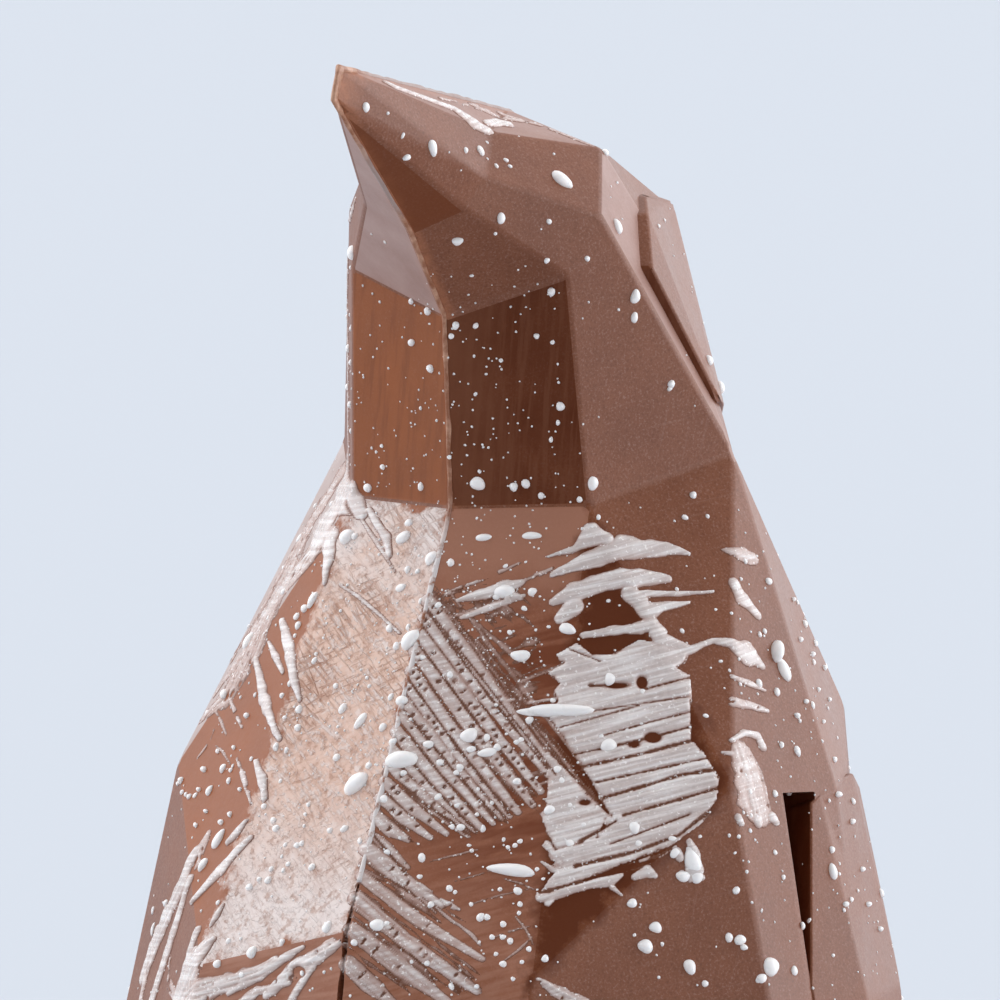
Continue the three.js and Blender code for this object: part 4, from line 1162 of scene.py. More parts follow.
def add_drop(bm, spot, normal, direction, length, width, random):
    """A low dome of white chocolate that has run a little and set."""
    side = normal.cross(direction)
    if side.length < 1e-3:
        side = normal.orthogonal()
    side.normalize()
    along = side.cross(normal)
    lean = random.random(DROP_DRAWS)
    turns, ring_count = next((turns, rings) for size, turns, rings in DROP_FACETS if length < size)
    rings = []
    for ring in range(ring_count):
        climb = math.radians(DROP_FOOT + DROP_CLIMB * ring / ring_count)
        reach = math.cos(climb)
        lift = width * DROP_HEIGHT * math.sin(climb)
        row = []
        for index in range(turns):
            turn = 2 * math.pi * index / turns
            wobble = 1
            for number, swing in enumerate(DROP_WOBBLE):
                wobble += swing * math.sin((number + 2) * turn + WOBBLE_PHASE * lean[number])
            lean_x, lean_y = [
                1 + most * (lean[number + 2] - 0.5) * math.cos(turn) for number, most in enumerate(DROP_LEAN)
            ]
            x = length / 2 * reach * wobble * math.cos(turn) * lean_x
            y = width / 2 * reach * wobble * math.sin(turn) * lean_y
            row.append(bm.verts.new(spot + along * x + side * y + normal * lift))
        rings.append(row)
    for near, after in zip(rings, rings[1:]):
        ringed(bm, near, after)
    top = bm.verts.new(spot + normal * width * DROP_HEIGHT)
    for index in range(turns):
        bm.faces.new((rings[-1][index], rings[-1][(index + 1) % turns], top))
    bm.faces.new(rings[0][::-1])


def clear_of_box(spot, size):
    return abs(spot.x) < CLEAR_X - size and abs(spot.y) < CLEAR_Y - size and size < spot.z < CLEAR_Z - size


def seeded(seed):
    state = seed
    while True:
        state = (state * 16807) % 2147483647
        yield state / 2147483647


def between(limits, share):
    return limits[0] + (limits[1] - limits[0]) * share


def from_outside(surface, around, height, shift):
    """Where a level line from outside towards the axis, or so far beside it, meets the surface."""
    outside = around @ Vector((EYE.x, EYE.y, 0)).normalized() * EYE_REACH + shift
    outside.z = height
    return surface.hit(outside, (Vector((shift.x, shift.y, height)) - outside).normalized())


def spread_drops(surface):
    """The drops on the sides that the layout doesn't reach, by the solid's own seeded rule."""
    draw = seeded(SPREAD_SEED)
    found = []
    for _ in range(SPREAD_COUNT):
        around = Matrix.Rotation(math.radians(between(SPREAD_TURNS, next(draw))), 3, "Z")
        height = between(SPREAD_HEIGHTS, next(draw))
        length = between(SPREAD_LENGTHS, next(draw) ** 2)
        width = length * between(SPREAD_WIDTHS, next(draw))
        direction = around @ layout_direction(HALF_TURN[1] * next(draw))
        found.append((from_outside(surface, around, height, Vector()), direction, length, width))
    return found


def on_bare_head(across, up):
    return up > HEAD_TOP or (up > HEAD_FOOT and across > HEAD_EDGE)


def density(across, up):
    """How thick the small drops lie at a place of the layout, 0 to 1."""
    thick = DENSE_ALL_OVER
    for share, middle, height, wide, high in DENSE_SPOTS:
        thick += share * math.exp(-(((up - height) / high) ** 2 + ((across - middle) / wide) ** 2))
    if across > DENSE_SIDE_FROM:
        thick += DENSE_SIDE
    return thick * (BARE_HEAD_SHARE if on_bare_head(across, up) else 1.0)


def fine_size(random):
    return FINE_SIZES[0] + FINE_SIZES[1] * random.random() ** FINE_POWER


def fine_drops(surface):
    """Specks about the neck, small drops over the layout, and small drops all round the back."""
    random = np.random.default_rng(FINE_SEED)
    found = []
    for _ in range(SPECK_COUNT):
        across, up = [random.normal(middle, spread) for middle, spread in zip(SPECK_MIDDLE, SPECK_SPREAD)]
        size = random.uniform(*SPECK_SIZES)
        if on_bare_head(across, up):
            continue
        direction = layout_direction(random.uniform(*HALF_TURN))
        found.append((surface.on_layout(across, up), direction, size, size * SPECK_WIDTH))
    while len(found) < FINE_COUNT + SPECK_COUNT:
        across, up, keep = random.uniform(*FINE_ACROSS), random.uniform(*FINE_UP), random.random()
        size = fine_size(random)
        angle, stretch = random.uniform(*HALF_TURN), random.uniform(*FINE_STRETCH)
        if keep <= density(across, up):
            found.append((surface.on_layout(across, up), layout_direction(angle), size, size * stretch))
    for _ in range(ROUND_COUNT):
        turn = math.radians(random.uniform(*ROUND_TURNS))
        height = random.uniform(*ROUND_HEIGHTS)
        size = fine_size(random)
        around = Matrix.Rotation(turn, 3, "Z")
        direction = around @ layout_direction(random.uniform(*HALF_TURN))
        shift = around @ layout_direction(0) * random.uniform(*ROUND_SHIFTS)
        hit = from_outside(surface, around, height, shift)
        found.append((hit, direction, size, size * random.uniform(*FINE_STRETCH)))
    return found


def drops(surface):
    random = np.random.default_rng(DROP_SEED)
    bm = bmesh.new()
    rows = [
        (surface.on_layout(across, up), layout_direction(angle), length, width)
        for across, up, length, width, angle in FACE_DROPS
    ]
    for hit, direction, length, width in rows + spread_drops(surface) + fine_drops(surface):
        if hit and clear_of_box(hit[0], length / 2):
            add_drop(bm, *hit, direction, length, width, random)
    for face in bm.faces:
        face.smooth = True
    return object_of(bm, "white_drops")


# ---- materials ------------------------------------------------------------------------------------------

CHOCOLATE_DARK = (0.1823, 0.057, 0.0237)
CHOCOLATE_LIGHT = (0.2332, 0.0795, 0.0365)
SCRATCH_BLOOM = (0.336, 0.2, 0.16)
SPECK_DEEP = (0.104, 0.0288, 0.0112)
# the colour of the painted glow beside the front seam
SEAM_PAINTED_GLOW = (0.368, 0.132, 0.06)
# painted shade on the shaded facets, the notch walls, the plate's front edge and the chest
SHADE_BROWN = (0.1075, 0.025, 0.0076)
# a paler brown for brushed streaks and for the painted glow on the neck
PALE_STREAK_AND_GLOW = (0.176, 0.0605, 0.0294)
HALF_SHADE = (0.168, 0.0403, 0.012)
PALE_GREYISH_BROWN = (0.416, 0.196, 0.128)
CLOUD_WHITE = (0.5952, 0.5059, 0.4762)
# painted shade on the beak's underside
SHADE_DEEP_BROWN = (0.1704, 0.0432, 0.0132)
WARM_BROWN = (0.315, 0.094, 0.03)
NECK_STREAK = (0.2, 0.06, 0.022)
BLOOM_BROWN = (0.3595, 0.1327, 0.0704)
GREY_BROWN = (0.464, 0.304, 0.264)
FILM = (0.7208, 0.4903, 0.388)
# the paler film, and the colour of a painted gloss highlight low on it
FILM_PALE_AND_HIGHLIGHT = (0.776, 0.664, 0.616)
FILM_DEEP = (0.336, 0.144, 0.076)
PAINT_THIN_AND_SHADE = (0.165, 0.062, 0.033)
PAINT_MID = (0.44, 0.275, 0.225)
PAINT_THICK = (0.61, 0.515, 0.48)
DROP_SOFT = (0.96, 0.89, 0.85)
# the drops' pale white, also used for painted highlights on the brushed white
PALE_WHITE_AND_HIGHLIGHT = (0.99, 0.95, 0.92)
SEAM_BROWN = (0.288, 0.108, 0.052)
SEAM_PALE = (0.544, 0.304, 0.2)
SEAM_WHITE = (0.688, 0.624, 0.6)
SEAM_GREY = (0.368, 0.264, 0.232)
FLOOR_COLOUR = (0.516, 0.54, 0.576)

PAINT_SCATTER = (0.0012, 0.0009, 0.0007)
DROP_SCATTER = (0.001, 0.0008, 0.0007)

# Where a skin changes, in metres. Two more numbers are what the change goes from and to.
GLOW_X = (0.0004, 0.0015, 1, 0)
GLOW_Z = (0.112, 0.122)
PALER_TOP_Z = (0.109, 0.117)
SHADE_X = (0.004, 0.012)
SHADE_Z = (0.112, 0.104)
SHADE_FOOT = (0.070, 0.084)
LOW_Z = (0.086, 0.070)
NECK_X = (0.011, 0.003)
FILM_LOW = (0.088, 0.075)
FILM_HIGH = (0.106, 0.114)
SEAM_PAINT_Z = (0.113, 0.119, 1, 0)
SEAM_BEHIND_Y = (-0.037, -0.033)
SEAM_TOP_Z = (0.150, 0.152)

MOST = (0.3, 0.7)  # where most of a noise's values lie
LAYOUT_DEPTH = 60.0  # how far the drawn lines run on in depth, against their width
SKIN_DEPTH = 16.0  # how far below a facet's plane its own skin reaches
WANDER = 4  # a soft border's swing, against its raggedness
SCRATCHES = ((12, 0.10), (78, 0.10), (-55, 0.07))  # angle, share
FILM_SCORES = ((-48, 3300, 9, 0.54, 0.62), (27, 3000, 7, 0.55, 0.63), (-66, 2600, 22, 0.60, 0.67))
VEIL_SPREAD = (0.75, 1.2)


class Nodes:
    """Adds nodes to a node tree, and knows the place that is coloured."""

    def __init__(self, tree, coordinates):
        self.tree = tree
        self.place = self.add("ShaderNodeTexCoord").outputs[coordinates]

    def add(self, kind, **values):
        node = self.tree.nodes.new(kind)
        for key, value in values.items():
            setattr(node, key, value)
        return node

    def link(self, output, target):
        self.tree.links.new(output, target)

    def give(self, socket, value):
        """Sets a socket to a number or a colour, or links it to an output."""
        if isinstance(value, tuple):
            socket.default_value = (*value, 1)
        elif isinstance(value, (int, float)):
            socket.default_value = value
        else:
            self.link(value, socket)

    def lines(self, angle, scale, longer, detail=2.0):
        """Noise drawn out into lines that rise by an angle, in degrees, as the layout shows them."""
        mapping = self.add("ShaderNodeMapping", vector_type="TEXTURE")
        self.link(self.place, mapping.inputs["Vector"])
        mapping.inputs["Rotation"].default_value = (0, math.radians(90 - angle), LAYOUT_TURN)
        mapping.inputs["Scale"].default_value = (1, LAYOUT_DEPTH, longer)
        return self.noise(scale, detail, 0.5, mapping.outputs["Vector"])

    def noise(self, scale, detail=3.0, rough=0.55, vector=None):
        node = self.add("ShaderNodeTexNoise")
        self.link(vector or self.place, node.inputs["Vector"])
        node.inputs["Scale"].default_value = scale
        node.inputs["Detail"].default_value = detail
        node.inputs["Roughness"].default_value = rough
        return node.outputs["Fac"]

    def ramp(self, value, low, high, start=0.0, end=1.0):
        node = self.add("ShaderNodeMapRange")
        self.link(value, node.inputs["Value"])
        for name, number in (("From Min", low), ("From Max", high), ("To Min", start), ("To Max", end)):
            node.inputs[name].default_value = number
        return node.outputs["Result"]

    def math(self, operation, a, b=None):
        node = self.add("ShaderNodeMath", operation=operation)
        for socket, value in zip(node.inputs, (a, b)):
            if value is not None:
                self.give(socket, value)
        return node.outputs[0]

    def product(self, first, *others):
        for other in others:
            first = self.math("MULTIPLY", first, other)
        return first

    def mix(self, share, a, b):
        node = self.add("ShaderNodeMix", data_type="RGBA")
        for socket, value in ((node.inputs["Factor"], share), (node.inputs[6], a), (node.inputs[7], b)):
            self.give(socket, value)
        return node.outputs[2]

    def axis(self, name):
        node = self.add("ShaderNodeSeparateXYZ")
        self.link(self.place, node.inputs[0])
        return node.outputs[name]

    def wavy_axis(self, name, scale, amount):
        return self.math("ADD", self.axis(name), self.product(self.noise(scale, 4), amount))

    def in_front(self):
        return self.math("LESS_THAN", self.axis("Y"), 0.0)

    def along(self, direction):
        node = self.add("ShaderNodeVectorMath", operation="DOT_PRODUCT")
        self.link(self.place, node.inputs[0])
        node.inputs[1].default_value = direction
        return node.outputs["Value"]

    def bump(self, height, strength, distance, onto=None):
        node = self.add("ShaderNodeBump")
        self.link(height, node.inputs["Height"])
        node.inputs["Strength"].default_value = strength
        node.inputs["Distance"].default_value = distance
        if onto:
            self.link(onto, node.inputs["Normal"])
        return node.outputs["Normal"]


class Skin(Nodes):
    """The nodes of a new material."""

    def __init__(self, name):
        self.material = bpy.data.materials.new(name)
        self.material.use_nodes = True
        super().__init__(self.material.node_tree, "Object")
        self.shader = self.tree.nodes["Principled BSDF"]

    def finished(self, colour, rough, normal, specular, scatter=0.0, radius=None):
        sockets = self.shader.inputs
        self.link(colour, sockets["Base Color"])
        self.link(rough, sockets["Roughness"])
        self.link(normal, sockets["Normal"])
        sockets["Specular IOR Level"].default_value = specular
        if scatter:
            sockets["Subsurface Weight"].default_value = scatter
            sockets["Subsurface Radius"].default_value = radius
            sockets["Subsurface Scale"].default_value = 1.0
        return self.material


def soft_facet(skin, facet, reach, ragged):
    """1 within a facet and 0 beyond it, with a soft and ragged border. Lengths in millimetres."""
    corners = [Vector(corner) for corner in facet]
    normal = (corners[1] - corners[0]).cross(corners[2] - corners[0])
    wander = skin.product(skin.math("SUBTRACT", skin.noise(330, 5, 0.62), 0.5), ragged * MM * WANDER)
    share = None
    for near, after in zip(corners, corners[1:] + corners[:1]):
        inward = normal.cross(after - near).normalized()
        inside = skin.math("SUBTRACT", skin.along(inward), inward.dot(near) * MM)
        edge = skin.ramp(skin.math("ADD", inside, wander), -reach * MM, reach * MM)
        share = skin.math("MINIMUM", share, edge) if share else edge
    outward = normal.normalized()
    level = outward.dot(corners[0]) * MM
    depth = skin.ramp(skin.along(outward), level - SKIN_DEPTH * MM, level - 0.5 * SKIN_DEPTH * MM)
    return skin.product(share, depth)


def veiled(skin, colour, brown, low, high):
    return skin.mix(skin.ramp(skin.noise(160, 4), *MOST, low, high), colour, brown)


def chocolate_base(skin):
    """Colour, roughness and bump that all the chocolate shares, with a painted glow beside the seam on the
    front of the neck and head.
    """
    cloud = skin.noise(95, 4)
    fine = skin.noise(2400, 2)
    colour = skin.mix(skin.ramp(cloud, *MOST), CHOCOLATE_DARK, CHOCOLATE_LIGHT)
    speckle = skin.noise(3600, 3, 0.7)
    colour = skin.mix(skin.ramp(speckle, 0.54, 0.68, 0, 0.42), colour, SCRATCH_BLOOM)
    colour = skin.mix(skin.ramp(speckle, 0.46, 0.34, 0, 0.5), colour, SPECK_DEEP)
    for angle, share in SCRATCHES:
        scratch = skin.ramp(skin.lines(angle, 2600, 40), 0.66, 0.72, 0, share)
        colour = skin.mix(scratch, colour, SCRATCH_BLOOM)
    # Painted glow: an orange glow in patches beside the seam on the front of the neck and head.
    beside = skin.ramp(skin.math("ABSOLUTE", skin.axis("X")), *GLOW_X)
    painted_glow = skin.product(beside, skin.in_front(), skin.ramp(skin.axis("Z"), *GLOW_Z))
    patchy = skin.ramp(skin.noise(900, 3), 0.35, 0.6, 0.35, 1)
    colour = skin.mix(skin.product(painted_glow, patchy), colour, SEAM_PAINTED_GLOW)
    both = skin.math("ADD", skin.product(cloud, 0.5), skin.product(fine, 0.5))
    rough = skin.ramp(both, *MOST, 0.36, 0.50)
    normal = skin.bump(fine, 0.22, 0.00006)
    normal = skin.bump(skin.noise(260, 2), 0.25, 0.0003, normal)
    return colour, rough, normal


def bloomed_breast(skin, colour):
    """Paler towards the top, a brushed half shade beside the middle, and pale streaks low down."""
    paler_top = skin.ramp(skin.wavy_axis("Z", 240, 0.008), *PALER_TOP_Z)
    shade = skin.product(
        skin.ramp(skin.axis("X"), *SHADE_X),
        skin.ramp(skin.axis("Z"), *SHADE_Z),
        skin.ramp(skin.axis("Z"), *SHADE_FOOT),
        skin.ramp(skin.lines(14, 900, 5, 4), 0.34, 0.56),
    )
    colour = skin.mix(shade, colour, HALF_SHADE)
    colour = skin.mix(skin.product(paler_top, 0.6), colour, PALE_GREYISH_BROWN)
    streaky = skin.ramp(skin.lines(16, 1500, 9, 4), 0.40, 0.60, 0.1, 0.6)
    return skin.mix(skin.product(skin.ramp(skin.axis("Z"), *LOW_Z), streaky), colour, PALE_GREYISH_BROWN)


def milk_chocolate(
    name, veil=0.0, brown=None, specular=0.36, breast=False, shaded_chest=False, neck=False, streak=None
):
    """Plain chocolate, or chocolate under a thin veil of another brown. On the shaded facets the veil is
    painted shade; the chest layer is painted shade on the chest facet, and the neck layer a painted glow
    beside the seam.
    """
    skin = Skin(name)
    colour, rough, normal = chocolate_base(skin)
    if veil:
        low, high = [veil * spread for spread in VEIL_SPREAD]
        colour = veiled(skin, colour, brown, low, min(1.0, high))
    if breast:
        colour = bloomed_breast(skin, colour)
    # Painted shade: the chest facet darkened, with a soft and ragged border.
    if shaded_chest:
        colour = skin.mix(skin.product(soft_facet(skin, CHEST_FACET, 1.0, 1.6), 0.95), colour, SHADE_BROWN)
    if streak:
        colour = skin.mix(skin.ramp(skin.lines(86, 1500, 12, 3), 0.48, 0.64, 0, 0.5), colour, streak)
    # Painted glow: the neck paler beside the seam.
    if neck:
        beside = skin.ramp(skin.wavy_axis("X", 200, 0.006), *NECK_X)
        colour = skin.mix(skin.product(beside, 0.75), colour, PALE_STREAK_AND_GLOW)
    return skin.finished(colour, rough, normal, specular)


def filmed_chocolate():
    """Chocolate under a thin smear of white, scored by the brush in three directions."""
    skin = Skin("filmed_chocolate")
    colour, rough, normal = chocolate_base(skin)
    lines = None
    for angle, scale, longer, low, high in FILM_SCORES:
        score = skin.ramp(skin.lines(angle, scale, longer), low, high)
        lines = skin.math("MAXIMUM", lines, score) if lines else score
    calm = skin.ramp(skin.noise(75, 3, 0.5), 0.40, 0.56, 0.2, 1.0)
    lines = skin.product(lines, skin.product(calm, skin.ramp(skin.axis("Z"), *FILM_LOW, 1.0, 0.5)))
    pale = skin.ramp(skin.math("ADD", skin.lines(-44, 2300, 7), skin.noise(1500, 3)), 1.02, 1.16)
    cloud = skin.noise(170, 4, 0.6)
    # Paler towards the top and the bottom: a whiter film at the top, and a painted gloss highlight low down.
    bright = skin.math("MAXIMUM", *[skin.ramp(skin.axis("Z"), *heights) for heights in (FILM_LOW, FILM_HIGH)])
    bright = skin.product(bright, skin.ramp(skin.noise(110, 4), 0.25, 0.45))
    smear = skin.mix(skin.math("MAXIMUM", skin.product(pale, 0.7), bright), FILM, FILM_PALE_AND_HIGHLIGHT)
    blotch = skin.noise(820, 4, 0.65)
    smear = skin.mix(skin.ramp(blotch, 0.53, 0.66, 0, 0.55), smear, FILM_PALE_AND_HIGHLIGHT)
    smear = skin.mix(skin.ramp(blotch, 0.47, 0.37, 0, 0.5), smear, FILM_DEEP)
    smear = skin.mix(skin.product(lines, skin.ramp(cloud, *MOST, 0.75, 0.45)), smear, FILM_DEEP)
    within = soft_facet(skin, far(BREAST_FACET), 0.7, 2.4)
    colour = veiled(skin, colour, WARM_BROWN, 0.65, 0.95)
    colour = skin.mix(skin.product(skin.ramp(cloud, 0.28, 0.55, 0.72, 0.98), within), colour, smear)
    height = skin.product(skin.math("SUBTRACT", pale, lines), within)
    normal = skin.bump(height, 0.7, 0.00012, normal)
    return skin.finished(colour, rough, normal, 0.24)


def brushed_white():
    """Brown where the white is thin, dark enough at the paint's edges and in its grooves to be painted shade,
    and paler as it gets thicker, with fine lines of the brush and paler streaks and flecks that are partly
    painted highlights.
    """
    skin = Skin("brushed_white")
    depth = skin.add("ShaderNodeAttribute", attribute_name="thickness").outputs["Fac"]
    grain = skin.noise(1400, 3)
    shifted = skin.math("ADD", depth, skin.product(skin.math("SUBTRACT", grain, 0.5), 0.07))
    # The thinnest paint is dark brown: partly chocolate showing through, partly painted shade at the paint's
    # edges and in its grooves.
    colour = skin.mix(skin.ramp(shifted, 0.015, 0.085), PAINT_THIN_AND_SHADE, PAINT_MID)
    colour = skin.mix(skin.ramp(shifted, 0.06, 0.27), colour, PAINT_THICK)
    # Paler streaks along the brush on thick paint: partly painted highlights.
    streak = skin.ramp(skin.lines(13, 2600, 16), 0.42, 0.66, 0, 0.55)
    colour = skin.mix(skin.product(streak, skin.ramp(depth, 0.08, 0.2)), colour, PALE_WHITE_AND_HIGHLIGHT)
    # Pale flecks: partly painted glints.
    colour = skin.mix(skin.ramp(skin.noise(2600, 2), 0.62, 0.68, 0, 0.7), colour, PALE_WHITE_AND_HIGHLIGHT)
    rough = skin.ramp(grain, *MOST, 0.22, 0.34)
    normal = skin.bump(skin.lines(12, 3000, 14), 0.45, 0.00012)
    normal = skin.bump(skin.noise(1300, 3), 0.4, 0.0001, normal)
    return skin.finished(colour, rough, normal, 0.4, 0.15, PAINT_SCATTER)


def drop_white():
    skin = Skin("drop_white")
    colour = skin.mix(skin.noise(420, 3), DROP_SOFT, PALE_WHITE_AND_HIGHLIGHT)
    rough = skin.ramp(skin.noise(800, 2), *MOST, 0.26, 0.36)
    normal = skin.bump(skin.noise(1500, 2), 0.2, 0.00005)
    return skin.finished(colour, rough, normal, 0.5, 0.2, DROP_SCATTER)


def seam_edge():
    """Pale brown, painted white below the neck in front, and greyer behind the beak."""
    skin = Skin("seam_edge")
    patchy = skin.noise(420, 4, 0.65)
    colour = skin.mix(skin.ramp(patchy, 0.42, 0.64), SEAM_BROWN, SEAM_PALE)
    painted = skin.product(skin.ramp(skin.axis("Z"), *SEAM_PAINT_Z), skin.ramp(patchy, 0.38, 0.5))
    colour = skin.mix(skin.product(painted, skin.in_front()), colour, SEAM_WHITE)
    behind = skin.ramp(skin.axis("Y"), *SEAM_BEHIND_Y)
    colour = skin.mix(skin.product(behind, skin.ramp(skin.axis("Z"), *SEAM_TOP_Z)), colour, SEAM_GREY)
    rough = skin.ramp(skin.noise(1500, 2), *MOST, 0.32, 0.5)
    normal = skin.bump(skin.noise(2200, 3), 0.5, 0.0001)
    return skin.finished(colour, rough, normal, 0.36)


def pale_floor():
    skin = Skin("studio_floor")
    sockets = skin.shader.inputs
    skin.give(sockets["Base Color"], FLOOR_COLOUR)
    sockets["Roughness"].default_value = 0.9
    sockets["Specular IOR Level"].default_value = 0.1
    return skin.material


# ---- studio ---------------------------------------------------------------------------------------------

FLOOR_REACH = 14.0
FLOOR_CELLS = 8
BACKGROUND = (0.765, 0.80, 0.855)
LIGHT_HEIGHTS = (0, 18, 38, 62, 90)
LIGHT_STEPS = 24
LIGHT_PEAK = 5.0  # the brightness that full white stands for in a ring
LIGHT_GAIN = 1.25
LIGHT_TINT = (0.97, 1.0, 1.05)
LIGHT_NARROWNESS = 10.0
# Soft lights: azimuth from the front towards the figure's left, elevation, strength.
LIGHTS = [
    (180, -12, 1.43), (-90, -12, 0.55), (-45, -12, 0.32), (90, -12, 1.57), (135, -12, 1.49),
    (180, 8, 0.87), (-135, 8, 0.2), (-90, 8, 1.14), (-45, 8, 0.65), (90, 8, 2.09), (135, 8, 2.71),
    (-135, 35, 0.54), (-90, 35, 1.49), (-45, 35, 1.14), (135, 35, 1.18),
    (180, 62, 0.23), (-135, 62, 0.65), (-90, 62, 1.1), (-45, 62, 0.83),
]
CLIP_START = 0.05
CLIP_END = 60


def light_towards(azimuth, elevation):
    """How bright the studio is in a direction, in degrees."""
    ahead = facing(math.radians(azimuth), math.radians(elevation))
    return sum(
        strength * max(0.0, ahead.dot(facing(math.radians(turn), math.radians(rise)))) ** LIGHT_NARROWNESS
        for turn, rise, strength in LIGHTS
    )


def light_ring(nodes, share, height):
    """The brightness all round at one height."""
    ring = nodes.add("ShaderNodeValToRGB")
    nodes.link(share, ring.inputs["Fac"])
    ring.color_ramp.interpolation = "B_SPLINE"
    stops = ring.color_ramp.elements
    for step in range(LIGHT_STEPS + 1):
        place = step / LIGHT_STEPS
        stop = stops[0] if step == 0 else stops[-1] if step == LIGHT_STEPS else stops.new(place)
        stop.position = place
        bright = light_towards(-180 + 360 * place, height)
        stop.color = [bright * tint / LIGHT_PEAK for tint in LIGHT_TINT] + [1]
    return ring.outputs["Color"]


def studio_world():
    """Light that comes from all round: a ring of brightness for each of a few heights."""
    world = bpy.data.worlds.new("studio")
    bpy.context.scene.world = world
    world.use_nodes = True
    world.node_tree.nodes.clear()
    nodes = Nodes(world.node_tree, "Generated")
    turn = nodes.math("ARCTAN2", nodes.axis("X"), nodes.product(nodes.axis("Y"), -1.0))
    share = nodes.ramp(turn, -math.pi, math.pi)
    total = light_ring(nodes, share, LIGHT_HEIGHTS[0])
    for lower, height in zip(LIGHT_HEIGHTS, LIGHT_HEIGHTS[1:]):
        blend = nodes.ramp(nodes.axis("Z"), math.sin(math.radians(lower)), math.sin(math.radians(height)))
        total = nodes.mix(blend, total, light_ring(nodes, share, height))
    light, seen = nodes.add("ShaderNodeBackground"), nodes.add("ShaderNodeBackground")
    nodes.link(total, light.inputs["Color"])
    light.inputs["Strength"].default_value = LIGHT_PEAK * LIGHT_GAIN
    nodes.give(seen.inputs["Color"], BACKGROUND)
    choose = nodes.add("ShaderNodeMixShader")
    nodes.link(nodes.add("ShaderNodeLightPath").outputs["Is Camera Ray"], choose.inputs[0])
    nodes.link(light.outputs[0], choose.inputs[1])
    nodes.link(seen.outputs[0], choose.inputs[2])
    nodes.link(choose.outputs[0], nodes.add("ShaderNodeOutputWorld").inputs["Surface"])


def floor():
    bm = bmesh.new()
    bmesh.ops.create_grid(bm, x_segments=FLOOR_CELLS, y_segments=FLOOR_CELLS, size=FLOOR_REACH / MM)
    made = object_of(bm, "floor")
    made.data.materials.append(pale_floor())


def camera():
    data = bpy.data.cameras.new("camera")
    data.lens = LENS
    data.sensor_width = SENSOR
    data.clip_start = CLIP_START
    data.clip_end = CLIP_END
    made = linked("camera", data)
    made.location = EYE * MM
    made.rotation_mode = "QUATERNION"
    made.rotation_quaternion = (TARGET - EYE).to_track_quat("-Z", "Y")
    bpy.context.scene.camera = made


# ---- building -------------------------------------------------------------------------------------------

# Facets whose skin isn't plain chocolate, and the material that each has. The shaded materials are painted
# shade.
FACET_SKINS = [
    (far(BREAST_FACET), "filmed_chocolate"),
    (NECK_FACET, "shaded_bare_chocolate"),
    (CHEST_FACET, "chest_chocolate"),
    (far(NECK_FACET), "warm_chocolate"),
    (far(CHEST_FACET), "filmed_chocolate"),
    (far(FLANK_FACET), "clouded_chocolate"),
    (CROWN_FACET, "greyed_chocolate"),
    (far(CROWN_FACET), "greyed_chocolate"),
    (BROW_FACET, "greyed_chocolate"),
    (far(BROW_FACET), "greyed_chocolate"),
    (BEAK_UNDERSIDE, "shaded_deep_chocolate"),
    (far(BEAK_UNDERSIDE), "dusted_chocolate"),
    (far(THROAT_FACET), "dusted_chocolate"),
    (HOOD_FACET, "greyed_chocolate"),
    (BREAST_FACET, "bloomed_chocolate"),
    (BELLY_FACET, "bloomed_chocolate"),
    (far(BELLY_FACET), "bloomed_chocolate"),
]
MARK_DEPTH = 0.6
MARK_FACING = 0.99
MARK_SIDE = 0.3
# The limits of these boxes are sideways to either side, then forward and up.
PLATE_EDGE_BOX = ((11, 24), (-4.5, 8.6), (128, 152))
PLATE_EDGE_FACING = -0.72
NOTCH_BOX = ((33, 41.5), (-7.5, 1.5), (60, 87.4))
NOTCH_FACING = 0.9


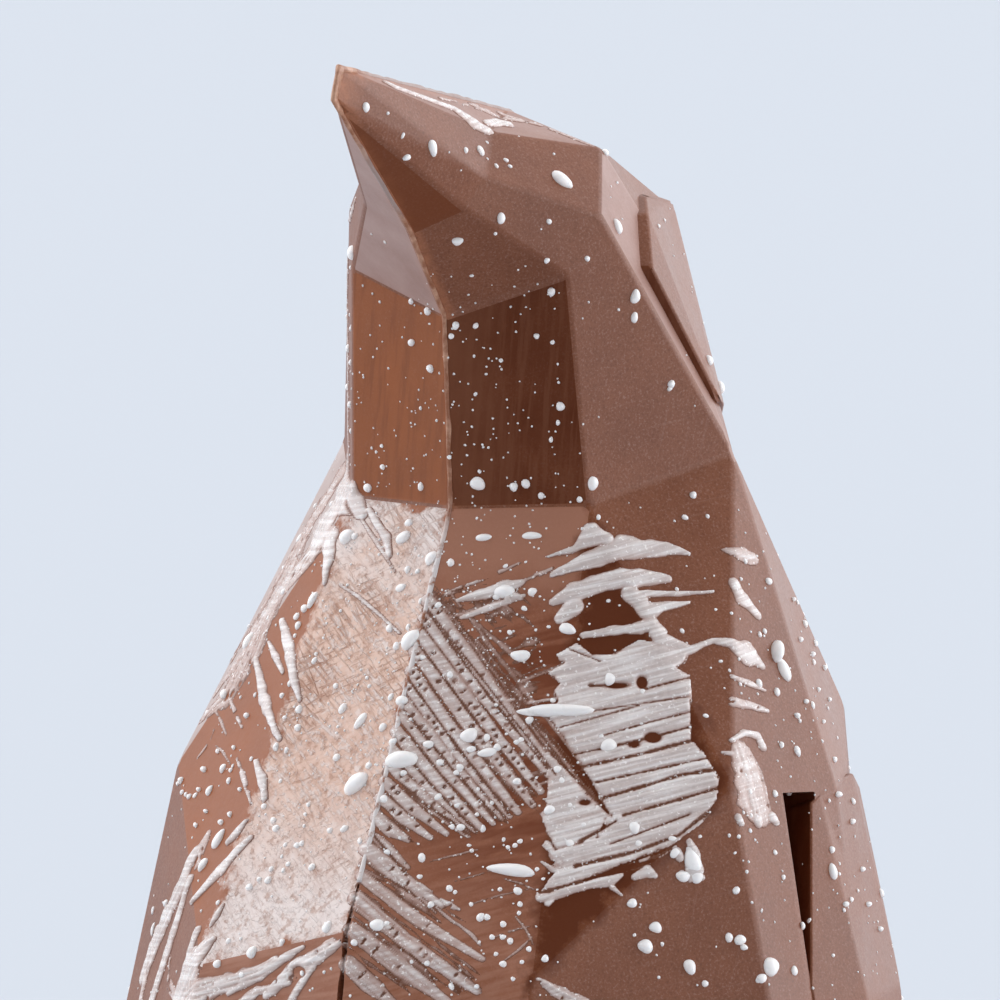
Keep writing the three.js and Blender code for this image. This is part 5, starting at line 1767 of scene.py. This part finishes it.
def body_skins():
    return [
        milk_chocolate("milk_chocolate", shaded_chest=True),
        filmed_chocolate(),
        # Painted shade: a darker veil for the near neck under the beak, and for the walls of the notches and
        # the plate's front edge.
        milk_chocolate("shaded_bare_chocolate", 0.85, SHADE_BROWN, 0.1, neck=True, streak=PALE_STREAK_AND_GLOW),
        milk_chocolate("warm_chocolate", 0.8, WARM_BROWN, 0.24, streak=NECK_STREAK),
        milk_chocolate("bloomed_chocolate", 0.5, BLOOM_BROWN, 0.24, breast=True, shaded_chest=True),
        milk_chocolate("greyed_chocolate", 0.46, GREY_BROWN),
        # Painted shade: a darker veil on the beak's shaded underside.
        milk_chocolate("shaded_deep_chocolate", 0.75, SHADE_DEEP_BROWN, 0.2),
        milk_chocolate("chest_chocolate", specular=0.18, shaded_chest=True),
        milk_chocolate("clouded_chocolate", 0.62, CLOUD_WHITE),
        milk_chocolate("dusted_chocolate", 0.78, GREY_BROWN),
    ]


def in_box(place, box):
    return all(low < value < high for value, (low, high) in zip((abs(place.x), place.y, place.z), box))


def in_shade(place, normal):
    """Whether a face is on the head plate's front edge or inside a notch."""
    if in_box(place, PLATE_EDGE_BOX) and normal.y < PLATE_EDGE_FACING:
        return True
    inward = normal.x * place.x < 0 or abs(normal.z) > NOTCH_FACING or normal.y < -NOTCH_FACING
    return in_box(place, NOTCH_BOX) and inward


def mark_facets(piece):
    """Gives the facets whose skin differs their own material."""
    numbers = {material.name: number for number, material in enumerate(piece.data.materials)}
    for polygon in piece.data.polygons:
        # Painted shade: faces inside the notches and on the plate's front edge take the shaded material.
        if in_shade(polygon.center / MM, polygon.normal):
            polygon.material_index = numbers["shaded_bare_chocolate"]
    for facet, skin in FACET_SKINS:
        corners = [Vector(point) for point in facet]
        centre = sum(corners, Vector()) / len(corners)
        normal = (corners[1] - corners[0]).cross(corners[2] - corners[0]).normalized()
        reach = max((corner - centre).length for corner in corners)
        for polygon in piece.data.polygons:
            place = polygon.center / MM
            away = place - centre
            level = abs(away.dot(normal)) < MARK_DEPTH and polygon.normal.dot(normal) > MARK_FACING
            beside = place.x * centre.x > MARK_SIDE * abs(centre.x)
            if level and away.length < reach and beside:
                polygon.material_index = numbers[skin]


def dressed(piece, name):
    piece.name = name
    piece.data.name = name
    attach(piece, BODY)
    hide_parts(NODE)


def build():
    penguin = body()
    penguin.data.materials.clear()
    for skin in body_skins():
        penguin.data.materials.append(skin)
    mark_facets(penguin)
    smoothed(penguin)
    surface = Surface(penguin)
    dressed(penguin, "chocolate_body")

    seam = parting_seam()
    seam.data.materials.append(seam_edge())
    dressed(seam, "parting_seam")

    for paint in (near_paint(surface), far_paint(surface), head_paint(surface)):
        paint.data.materials.append(brushed_white())
        dressed(paint, paint.name)
    splashes = drops(surface)
    splashes.data.materials.append(drop_white())
    dressed(splashes, "white_drops")


build()
studio_world()
floor()
camera()
bpy.context.scene.view_settings.view_transform = "Standard"
